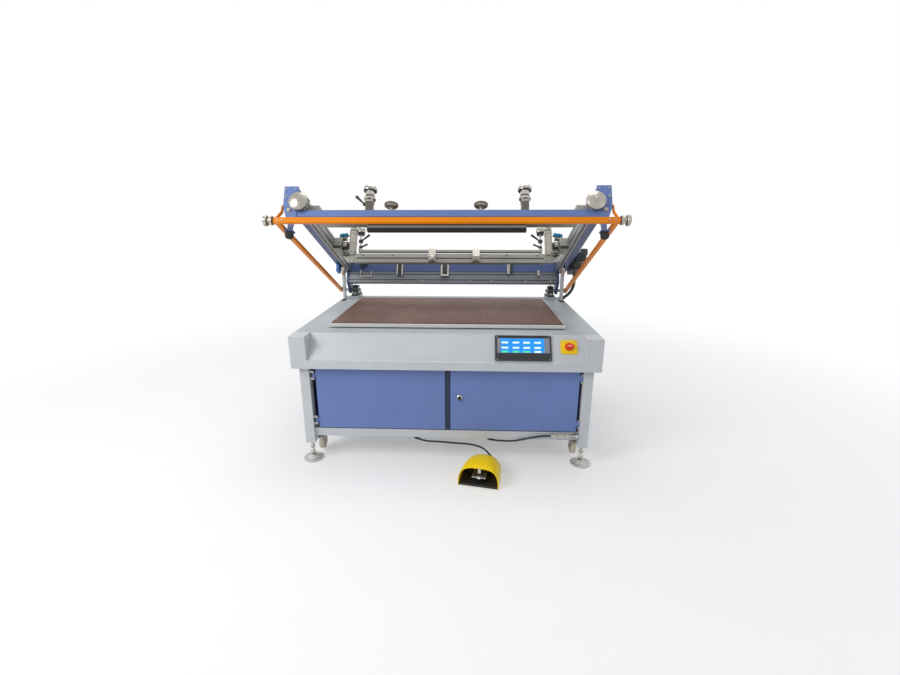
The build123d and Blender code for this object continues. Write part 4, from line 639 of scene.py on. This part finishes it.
# Head: bolts on the end plates, bumper bolts, pin clips, belt covers on the rails, arm screws
for side in (-1, 1):
    for x, z, size in ((943, 1044, 11), (966, 1131, 6), (912, 1180, 5), (968, 1180, 5)):
        hex_bolt(shape, (side * x, 8, z), FRONT, size)
    for y in (28, 0):
        hex_bolt(shape, (side * 926.5, y, 914), UP, 6)
    lathe(shape, (side * 990.4, 14, 1052), (side, 0, 0), [(5, 0), (9.5, 0), (9.5, 2.2), (5, 2.6)], 28)
    for y in (80, 330, 640, 950, 1200):
        for z in (1178, 1122):
            button_screw(shape, (side * 982, y, z), (side, 0, 0), 6)
    for y in (66, 250, 520, 800, 1080):
        hex_bolt(shape, (side * WHEEL_X, y, 1150), UP, 6)
    for y, z in ((1195, 1140), (1195, 990), (1290, 1135), (1310, 1040), (1262, 1060)):
        hex_bolt(shape, (side * 882, y, z), (-side, 0, 0), 7)
piece("head_bolts", shape, HEAD, "head", nickel)
for side in (-1, 1):
    side_block(shape, side, 866, 900, 84, 132, 1150.2, 1168)
    side_block(shape, side, 866, 900, 1100, 1160, 1150.2, 1172)
    side_block(shape, side, 876, 890, 132, 1100, 1150.2, 1153)
piece("belt_covers", shape, HEAD, "head", black, 1.5)
block(shape, -977, -950, 1100, 1168, 1036, 1101.8)
piece("arm_foot", shape, HEAD, "head", blue_bright, 5)

# Clamps and plates on the rear beam
for low, high, front, bottom, top in (
        (-474, -461, 1162, 1020, 1140), (-432, -418, 1162, 1020, 1140), (465, 488, 1162, 1036, 1124),
        (717, 741, 1162, 1024, 1072), (-96, -80, 1162, 1016, 1138), (-42, -26, 1162, 1022, 1138),
        (-96, -26, 1158, 1016, 1034), (-786, -684, 1168, 1012, 1022), (-786, -776, 1168, 1022, 1070),
        (-694, -684, 1168, 1022, 1060)):
    block(shape, low, high, front, BEAM_FRONT, bottom, top)
piece("beam_plates", shape, HEAD, "head", nickel, 2.5)
block(shape, -460, -433, 1166, BEAM_FRONT, 1026, 1134)
block(shape, -79, -43, 1164, BEAM_FRONT, 1036, 1130)
block(shape, 489, 512, 1164, BEAM_FRONT, 1052, 1124)
lathe(shape, (-766, 1160, 1094), UP, [(9, 0), (9, 22), (0, 22)], 20)
lathe(shape, (-794, 1160, 1122), (1, 0, 0), [(0, 0), (8, 2), (9, 8), (9, 64), (8, 70), (0, 72)], 20)
block(shape, -774, -758, 1160, BEAM_FRONT, 1090, 1106)
piece("beam_clamps", shape, HEAD, "head", black, 2)
for x, z in ((-467, 1128), (-425, 1128), (-467, 1032), (-425, 1032), (476, 1112), (476, 1048), (729, 1060),
             (-88, 1126), (-34, 1126)):
    hex_bolt(shape, (x, 1161, z), FRONT, 5)
hex_bolt(shape, (-61, 1157, 1025), FRONT, 5)
for x in (-830, -600, -250, 150, 330, 620, 830):
    button_screw(shape, (x, 1180, 985), FRONT, 6)
piece("beam_bolts", shape, HEAD, "head", steel)

# Gear motor: cooling ribs, fan guard, flange bolts, box lid
for rib in range(28):
    turn = 2 * math.pi * rib / 28
    if 0.25 < turn < 1.35:
        continue
    across, up = math.cos(turn), math.sin(turn)
    rib_place = Matrix.Translation((MOTOR_X, 977, MOTOR_Z)) @ Matrix((
        (across, -up, 0, 0), (0, 0, 1, 0), (up, across, 0, 0), (0, 0, 0, 1)))
    prism(shape, rib_place, [(40, -1.3), (45.5, -0.9), (45.5, 0.9), (40, 1.3)], 0, 126)
piece("motor_ribs", shape, HEAD, "head", motor_grey)
fan = (MOTOR_X, 941, MOTOR_Z)
for inner, outer in ((8.7, 11.3), (16.7, 19.3), (24.7, 27.3), (31.7, 34.3)):
    lathe(shape, fan, FRONT, [(inner, -1), (inner, 2), (outer, 2), (outer, -1)], 40)
for spoke in range(8):
    prism(shape, Matrix.Translation(fan) @ Matrix.Rotation(math.pi * spoke / 4, 4, "Y"),
          [(4, -2.6), (35, -2.6), (35, -0.4), (4, -0.4)], -1.2, 1.2)
lathe(shape, fan, FRONT, [(6, 0), (6, 2.4), (0, 3)], 20)
piece("motor_fan_guard", shape, HEAD, "head", black)
for x in (1050, 1084):
    for y in (989, 1063):
        button_screw(shape, (x, y, 1192.8), UP, 3.6)
for x, z in ((1000, 1075), (1062, 1075), (1000, 1147), (1076, 1147)):
    hex_bolt(shape, (x, 1120, z), FRONT, 5)
for y, z in ((1136, 1080), (1136, 1142), (1228, 1080), (1228, 1142)):
    hex_bolt(shape, (1089, y, z), (1, 0, 0), 5)
piece("motor_bolts", shape, HEAD, "head", steel)
prism(shape, Matrix.Translation((1067, 1026, 1192.6)), rounded_rectangle(48, 84, 4), 0, 2.4)
lathe(shape, (1089, 1182, MOTOR_Z), (1, 0, 0), [(30, -1), (30, 2), (27, 3.4), (12, 3.4), (10, 5), (0, 5)], 40)
piece("motor_lids", shape, HEAD, "head", motor_grey, 0.8)

# Screen clamp: post flanges, screws and the slot along its beam
for side in (-1, 1):
    side_block(shape, side, 465, 517, 135, 187, 1075.2, 1081)
    side_block(shape, side, 465, 517, 136, 186, 1168, 1184.2)
    for across, along in corners(19, 19):
        lathe(shape, (side * POST_X + across, CLAMP_Y + along, 1184), UP,
              [(4.6, 0), (4.6, 1.4), (2.4, 1.5), (2.4, 0.4), (0, 0.4)], 18)
    for y in (140, 182):
        for z in (1064, 1112):
            hex_bolt(shape, (side * 800, y, z), (-side, 0, 0), 5)
piece("clamp_flanges", shape, HEAD, "clamp_carrier", nickel, 1)
block(shape, -780, 780, 130.4, 131.4, 1041, 1049)
for x in (-440, -300, 0, 300, 440):
    lathe(shape, (x, 131.2, 1060), FRONT, [(5, 0), (5, 1.6), (2.6, 1.6), (2.4, 0.6), (0, 0.6)], 18)
piece("clamp_beam_slot", shape, HEAD, "clamp_carrier", black)
for x in (-430, -215, 0, 215, 430):
    button_screw(shape, (x, 139, 1002), FRONT, 4.5)
piece("clamp_bar_screws", shape, HEAD, "clamp_bar", nickel)

# Squeegee carriage: cylinder heads with tie rods, bearing blocks, brackets and air fittings
for side in (-1, 1):
    side_block(shape, side, 702, 752, 656, 706, 1184, 1200.5)
    side_block(shape, side, 702, 752, 656, 706, 1036, 1050)
    side_block(shape, side, 702, 752, 658, 704, 1108, 1114)
    for across, along in corners(1, 1):
        lathe(shape, (side * COLUMN_X + across * 21, CARRIAGE_Y + along * 21, 1034), UP,
              [(0, 0), (2.6, 0), (2.6, 172), (0, 172)], 12)
        lathe(shape, (side * COLUMN_X + across * 20, CARRIAGE_Y + along * 20, 1200), UP,
              [(5, 0), (5, 4), (2.4, 4), (2.4, 1), (0, 1)], 18)
    knurl(shape, (side * COLUMN_X, CARRIAGE_Y, 1200), UP, 24.4, 25.8, 10, 29, 40)
    side_block(dark, side, 756, 798, 648, 673.4, 1064, 1104)
    side_block(dark, side, 756, 798, 652, 673.4, 1008, 1030)
    side_block(shape, side, 764, 792, 640, 650, 1070, 1098)
    lathe(shape, (side * 778, 640, 1084), FRONT, [(11, 0), (11, 7), (6, 8), (6, 11), (0, 11)], 28)
    for x, z in ((762, 1014), (792, 1014), (748, 980), (714, 980), (714, 966), (748, 966), (788, 1112)):
        hex_bolt(shape, (side * x, 652 if z == 1014 else 673.2, z), FRONT, 5)
    for face in (-1, 1):
        for z in (1058, 1126):
            hex_bolt(shape, (side * 800, CARRIAGE_Y + face * 40, z), (-side, 0, 0), 5)
        edge = 680 + face * 50.6
        side_block(dark, side, 802, 862, edge - 1.6, edge + 1.6, 1050, 1074)
        for x in (816, 848):
            hex_bolt(shape, (side * x, edge + face * 1.4, 1106), (0, face, 0), 5)
    side_block(shape, side, 772, 832, 650, 700, 1138.2, 1144)
    side_block(dark, side, 778, 806, 656, 690, 1144, 1160)
    for x, y in ((788, 664), (818, 672)):
        lathe(bright, (side * x, y, 1144), UP, [(7, 0), (7, 20), (5, 21), (5, 24), (0, 24)], 24)
        lathe(coloured, (side * x, y, 1155), UP, [(0, 0), (11, 0.5), (12, 3), (12, 20), (9, 25), (0, 26)], 28)
        lathe(coloured, (side * x, y - 2, 1168), (-side, -0.8, 0.1),
              [(0, 0), (9.5, 1), (9.5, 28), (8, 32), (0, 32)], 28)
    lathe(bright, (side * 752, CARRIAGE_Y, 1172), (side, 0, 0), [(6, 0), (6, 9), (0, 9)], 6)
    lathe(coloured, (side * 760, CARRIAGE_Y, 1172), (side, 0, 0), [(0, 0), (8, 0.5), (8, 15), (6, 17), (0, 17)], 24)
    lathe(dark, (side * 752, CARRIAGE_Y, 1062), (side, 0, 0), [(0, -1), (7, 0), (7, 12), (5, 16), (0, 16)], 20)
    lathe(shape, (side * 777, 690, 1138), UP, [(0, 0), (5, 0), (5, 34), (8, 36), (8, 44), (0, 45)], 20)
piece("carriage_heads", shape, HEAD, "squeegee_carriage", nickel, 0.6)
piece("carriage_bearings", dark, HEAD, "squeegee_carriage", black, 1.2)
piece("air_fittings", coloured, HEAD, "squeegee_carriage", air_blue)
piece("air_fitting_stems", bright, HEAD, "squeegee_carriage", brass)
block(shape, -690, 690, 660.2, 661.4, 984, 992)
for side in (-1, 1):
    for x in (640, 420):
        lathe(shape, (side * x, 661.2, 1008), FRONT, [(5, 0), (5, 1.8), (2.6, 1.8), (2.4, 0.6), (0, 0.6)], 18)
piece("carriage_slot", shape, HEAD, "squeegee_carriage", black)

# Squeegee bar: wing screws of the blade clamps, rod collars and short stop levers; tips of the levers
for x in (-127, 195):
    knurl(shape, (x, 632, 977), FRONT, 12.6, 13.8, 10, 19, 24)
    for across in (-16, 16):
        lathe(shape, (x + across, 661, 1056), UP, [(6, 0), (6, 5), (2.8, 5), (2.8, 1.5), (0, 1.5)], 18)
for side in (-1, 1):
    lathe(shape, (side * ROD_X, CARRIAGE_Y, 1056), UP, [(7.2, 0), (15, 0), (15, 10), (12, 12), (7.2, 12)], 30)
    lathe(dark, (side * ROD_X, CARRIAGE_Y, 1072), UP, [(7.3, 0), (12.5, 0), (12.5, 14), (7.3, 14)], 30)
    lathe(dark, (side * 662, 676, 1079), (-side * 0.9, -0.3, 0.3),
          [(0, 6), (7, 8), (6, 40), (8.5, 46), (6, 54), (0, 56)], 20)
piece("blade_clamp_screws", shape, HEAD, "squeegee_bar", chrome, 0.4)
piece("stop_levers", dark, HEAD, "squeegee_bar", black)
for side in (-1, 1):
    lathe(shape, (side * ROD_X, CARRIAGE_Y, 1023), UP, [(8.6, -0.5), (15, -0.5), (15, 1), (8.6, 1.4)], 30)
piece("rod_flanges", shape, HEAD, "squeegee_carriage", nickel)
for side, name in SIDES:
    heading = Vector((-side * 0.82, -0.3, 0.5))
    lathe(shape, Vector((side * ROD_X, CARRIAGE_Y, 1126)) + heading * 78, heading,
          [(0, -54), (6, -52), (8, -8), (9.5, 0), (7.5, 6), (0, 8)], 24)
    lathe(shape, (side * ROD_X, CARRIAGE_Y, 1136), UP, [(7.4, -0.5), (13, -0.5), (13, 1.6), (7.4, 2)], 28)
    part_of(f"ratchet_lever_{name}", "tip", black)
heading = Vector((-0.72, 0, 0.69))
lathe(shape, Vector((-525, CLAMP_Y, 1160.3)) + heading * 70, heading,
      [(0, -48), (6.5, -46), (8.5, -10), (10.5, -2), (9.5, 6), (6, 9), (0, 10)], 24)
part_of("lock_lever", "tip", black)

# Safety bar: screws on its side tubes and bolts on its front
for side in (-1, 1):
    for y in (-60, 1240):
        lathe(shape, (side * 972, y, 942), UP, [(6, 0), (6, 2), (3, 2.2), (2.8, 0.6), (0, 0.6)], 20)
    for x in (930, 960):
        hex_bolt(shape, (side * x, -100, 930), FRONT, 4.5)
piece("safety_bar_screws", shape, HEAD, "safety_bar", steel)

# Lift rods: painted sleeves with a seal ring
for side, name in SIDES:
    clevis = TABLE.inverted() @ HEAD @ Vector((side * LIFT_X, CLEVIS_Y, CLEVIS_Z))
    heading = clevis - Vector((side * LIFT_X, 1185, 290))
    lathe(shape, clevis, heading, [(12.1, -262), (15, -261), (15, -66), (13.5, -63), (12.1, -63)], 40)
    lathe(shape, clevis, heading, [(15, -100), (16.4, -99), (16.4, -84), (15, -83)], 40)
    part_of(f"lift_rod_{name}", "sleeve", grey, TABLE)

# Table: pillow block fittings, riser bolts, sheet screws, back panel and skirt screws
for side in (-1, 1):
    x = side * PILLOW_X
    for y in (1232, 1348):
        lathe(shape, (x, y, 906.8), UP, [(6, 0), (15.5, 0), (15.5, 2.2), (6, 2.2)], 28)
    for face in (-1, 1):
        lathe(bright, (x + face * 24, HINGE_Y, HINGE_Z), (face, 0, 0),
              [(13.2, 0), (30, 0), (29, 2), (22, 2.4), (20, 1), (13.2, 1)], 40)
    lathe(bright, (x, 1282, 973.5), (0, -0.3, 1), [(3.5, 0), (3.5, 6), (5, 7), (3, 11), (3.6, 13), (0, 15)], 16)
    for offset in (-32, 30):
        for y in (1224, 1354):
            hex_bolt(shape, (x + side * offset, y, 892), UP, 4.5)
piece("pillow_washers", shape, TABLE, "table", steel)
piece("bearing_rings", bright, TABLE, "table", chrome)
places = [(x, y) for x in (-700, -235, 235, 700) for y in (247, 1100)]
places += [(side * 742, y) for side in (-1, 1) for y in (330, 500, 670, 840, 1010)]
for x, y in places:
    lathe(shape, (x, y, 900), UP, [(6.5, -0.3), (6.2, 0.35), (3, 0.4), (2.6, 0.1), (0, 0.1)], 20)
piece("sheet_screws", shape, TABLE, "table", chrome)
for x in (-820, -410, 0, 410, 820):
    for z in (250, 520, 780):
        button_screw(shape, (x, 1312.4, z), (0, 1, 0), 5)
for x in (-860, -430, 0, 430, 860):
    button_screw(shape, (x, 1370, 700), (0, 1, 0), 5.5)
for side in (-1, 1):
    for y in (200, 560, 920, 1280):
        button_screw(shape, (side * 950, y, 700), (side, 0, 0), 5.5)
    for y in (180, 500, 860, 1180):
        for z in (260, 640):
            button_screw(shape, (side * 837.5, y, z), (side, 0, 0), 4.5)
piece("panel_screws", shape, TABLE, "table", steel)
for x in (-848.5, -839.5, 846.5, 855.5):
    for z in (269, 313, 578, 622):
        button_screw(shape, (x, 47, z), FRONT, 2.6)
piece("hinge_screws", shape, TABLE, "table", steel)

# Levelling feet: screw threads and a washer under the leg; castors: axle nuts and plate bolts
thread = [(0, 39)]
for low in range(40, 115, 3):
    thread += [(8, low), (8.9, low + 1.2), (8.9, low + 1.8), (8, low + 3)]
thread.append((0, 115.5))
for end, y in (("front", 70), ("rear", 1300)):
    for side, name in SIDES:
        foot = (side * FOOT_X, y, 0)
        lathe(shape, foot, UP, thread, 24)
        lathe(shape, foot, UP, [(8, 36), (19, 33.5), (20.5, 30), (18, 28)], 32)
        for low, high in ((44, 56), (84, 96)):
            prism(shape, axis_frame(foot, UP), circle(17, 6), low, high)
        lathe(shape, foot, UP, [(46, 12.5), (49, 14.3), (52, 13.4), (54, 11.4)], 48)
        part_of(f"foot_{end}_{name}", "thread", chrome, TABLE)
for side, name in SIDES:
    for y in (163, 1207):
        for across, along in corners(37, 37):
            hex_bolt(bright, (side * CASTOR_X + across, y + along, 168), (0, 0, -1), 5)
    for face in (-1, 1):
        hex_bolt(dark, (side * CASTOR_X + face * 20, FRONT_WHEEL_Y, WHEEL_Z), (face, 0, 0), 7)
        hex_bolt(shape, (side * CASTOR_X + face * 20, REAR_WHEEL_Y, WHEEL_Z), (face, 0, 0), 7)
    lathe(dark, (side * CASTOR_X, 163, 154), UP, [(24, 0), (33, 1), (35, 4), (33, 8.5), (24, 9)], 40)
    part_of(f"castor_fork_{name}", "nuts", steel, TABLE, dark)
    lathe(shape, (side * CASTOR_X, 1207, 154), UP, [(24, 0), (33, 1), (35, 4), (33, 12), (24, 13)], 40)
piece("castor_rear_nuts", shape, TABLE, "table", steel)
piece("castor_plate_bolts", bright, TABLE, "table", steel)
for end, y in (("front", FRONT_WHEEL_Y), ("rear", REAR_WHEEL_Y)):
    for side, name in SIDES:
        for face in (-1, 1):
            lathe(shape, (side * CASTOR_X + face * 10, y, WHEEL_Z), (face, 0, 0),
                  [(17, 0), (31, 0), (30, 1.2), (18, 1.2)], 40)
        part_of(f"castor_wheel_{end}_{name}", "rings", cast_grey, TABLE)

# Foot pedal: moulded hood, ribbed treadle, stay strip
sections = []
for share in (0, 0.04, 0.12, 0.22, 0.34, 0.46, 0.58, 0.7, 0.8, 0.88, 0.94, 0.98, 1):
    tail = max(0.0, (share - 0.7) / 0.3)
    tuck = math.sqrt(max(0.0, 1 - tail ** 2.4 * 0.62))
    half = (HOOD_HALF - 8 * share * share) * (0.55 + 0.45 * tuck)
    top = HOOD_HEIGHT * (0.86 + 0.56 * share - 0.72 * share * share) * (0.42 + 0.58 * tuck)
    roundness = 0.6 + 0.35 * share
    section = []
    for step in range(37):
        turn = math.pi * step / 36
        wide = math.cos(turn)
        height = math.sin(turn) ** roundness * top
        across = math.copysign(abs(wide) ** roundness, wide) * half + 16 * share * height / HOOD_HEIGHT
        lean = 16 * (height / HOOD_HEIGHT) ** 1.5 * max(0, 1 - share * 5)
        section.append(shape.verts.new((across, HOOD_DEPTH * share + lean, height)))
    sections.append(section)
skin(shape, sections, closed=False)
shape.faces.new(sections[-1])
guard = piece("pedal_hood", shape, PEDAL, "table", yellow, angle=60)
shell = guard.modifiers.new("wall", "SOLIDIFY")
shell.thickness = 0.004
shell.offset = -1
round_edges(guard, 1.2, 50)
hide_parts("pedal_guard")
before, end = (TABLE.inverted() @ point for point in PEDAL_ROUTE[-2:])
outline = [(0, -3)]
for rib in range(5):
    wide = 7.2 + rib * 0.8
    outline += [(wide, rib * 5 - 2), (wide, rib * 5 + 1), (6.8, rib * 5 + 1.6), (6.8, rib * 5 + 2.6)]
outline += [(12, 22), (12, 27), (0, 27)]
lathe(shape, end, end - before, outline, 24)
piece("pedal_relief", shape, TABLE, "table", rubber)
for rib in range(9):
    along = 40 + rib * 13
    lift = 52 + (along - 30) * 0.027
    block(shape, -39, 39, along, along + 5, lift - 0.5, lift + 1.6)
piece("treadle_ribs", shape, PEDAL, "pedal_treadle", rubber, 0.8)
for rib in range(13):
    block(shape, rib * 15 - 95, rib * 15 - 87, 10, 30, 9.5, 12.5)
piece("pedal_base_ribs", shape, PEDAL, "table", rubber, 0.8)
block(shape, -9, 9, 52, 55, 64, 130)
piece("pedal_stay", shape, PEDAL, "table", white_mark, 0.6)
block(shape, -9, 9, 27.6, 29.4, 42, 54)
piece("treadle_mark", shape, PEDAL, "pedal_treadle", white_mark, 0.4)

# Cable glands and the rings of the supply coupling
for path in (PEDAL_ROUTE, SUPPLY_ROUTE):
    start, after = (TABLE.inverted() @ point for point in path[:2])
    prism(dark, axis_frame((start.x, start.y, 168), (0, 0, -1)), circle(14.5, 6), -4, 3)
    heading = (after - start).normalized()
    knurl(dark, start - heading * 7, heading, 9.4, 10.6, 0, 7, 18)
for low, high, inner, outer in ((12, 34, 13.8, 15), (92, 120, 13.8, 15.2), (40, 88, 11, 12.2)):
    knurl(shape, COUPLING, (1, 0, 0), inner, outer, low, high, 22)
for ring in range(5):
    low = 124 + ring * 5
    lathe(shape, COUPLING, (1, 0, 0), [(10.5, low), (12.6, low + 1), (12.6, low + 3), (10.5, low + 4)], 28)
prism(shape, axis_frame((839, 46, 208), (1, 0, 0)), circle(19, 6), -6, 6)
piece("coupling_rings", shape, TABLE, "table", chrome)
knurl(dark, (932, 1248, 893), UP, 17.6, 19, -26, -8, 26)
piece("gland_nuts", dark, TABLE, "table", black, 0.4)


# Floor and light
def backdrop_rays(tree):
    """One for the rays that see the backdrop: camera, glossy and transmission rays."""
    path = add(tree, "LightPath")
    seen = math_node(tree, "MAXIMUM", path["Is Camera Ray"], path["Is Glossy Ray"])
    return math_node(tree, "MAXIMUM", seen, path["Is Transmission Ray"])


def floor_material():
    """A pale floor whose far part glows as white as the backdrop, so no horizon shows."""
    made = surface("floor_paint", (0.92, 0.92, 0.92), (0.75, 0.9), grain=60, bump=0.02, drift=0.01, edge=0.0001)
    tree = made.node_tree
    shader = tree.nodes["Principled BSDF"]
    distance = add(tree, "VectorMath", {0: add(tree, "TexCoord")["Object"]}, operation="LENGTH")["Value"]
    far = span(tree, distance, 0.5, 5.5, 0.3, 1.0)
    far.node.interpolation_type = "SMOOTHSTEP"
    far = math_node(tree, "MULTIPLY", far, backdrop_rays(tree))
    base = shader.inputs["Base Color"].links[0].from_socket
    tree.links.new(mix(tree, far, base, (0.0, 0.0, 0.0)), shader.inputs["Base Color"])
    tree.links.new(far, shader.inputs["Emission Strength"])
    shader.inputs["Emission Color"].default_value = (1, 1, 1, 1)
    shader.inputs["Specular IOR Level"].default_value = 0.1
    return made


bmesh.ops.create_grid(shape, x_segments=8, y_segments=8, size=20)
floor_mesh = bpy.data.meshes.new("floor")
shape.to_mesh(floor_mesh)
for drawn in (shape, dark, bright, coloured):
    drawn.free()
floor = bpy.data.objects.new("floor", floor_mesh)
scene.collection.objects.link(floor)
floor_mesh.materials.append(floor_material())

world = bpy.data.worlds.new("studio")
scene.world = world
world.use_nodes = True
sky = world.node_tree
backdrop = sky.nodes["Background"]
height = add(sky, "SeparateXYZ", {0: add(sky, "TexCoord")["Generated"]})["Z"]
gradient = ramp(sky, span(sky, height, -1.0, 1.0), (0.0, (0.3, 0.3, 0.3)), (0.48, (0.16, 0.165, 0.18)),
                (0.56, (0.4, 0.41, 0.42)), (1.0, (0.6, 0.6, 0.6)))
sky.links.new(mix(sky, backdrop_rays(sky), gradient, (1.0, 1.0, 1.0)), backdrop.inputs["Color"])
backdrop.inputs["Strength"].default_value = 1.0


def area_light(name, place, target, size, power, colour=(1, 1, 1)):
    data = bpy.data.lights.new(name, "AREA")
    data.shape = "RECTANGLE"
    data.size, data.size_y = size
    data.energy = power
    data.color = colour
    lamp = bpy.data.objects.new(name, data)
    scene.collection.objects.link(lamp)
    lamp.location = place
    lamp.rotation_euler = (Vector(target) - Vector(place)).to_track_quat("-Z", "Y").to_euler()


area_light("key", (-3.4, -2.8, 3.2), (0, 0, 0.8), (2.2, 1.8), 108, (1.0, 0.99, 0.97))
area_light("fill", (3.4, -2.6, 2.2), (0, 0, 0.7), (2.2, 2.2), 4, (0.95, 0.97, 1.0))
area_light("top", (0.2, 0.6, 4.2), (0, 0, 0.8), (3.0, 2.0), 55)
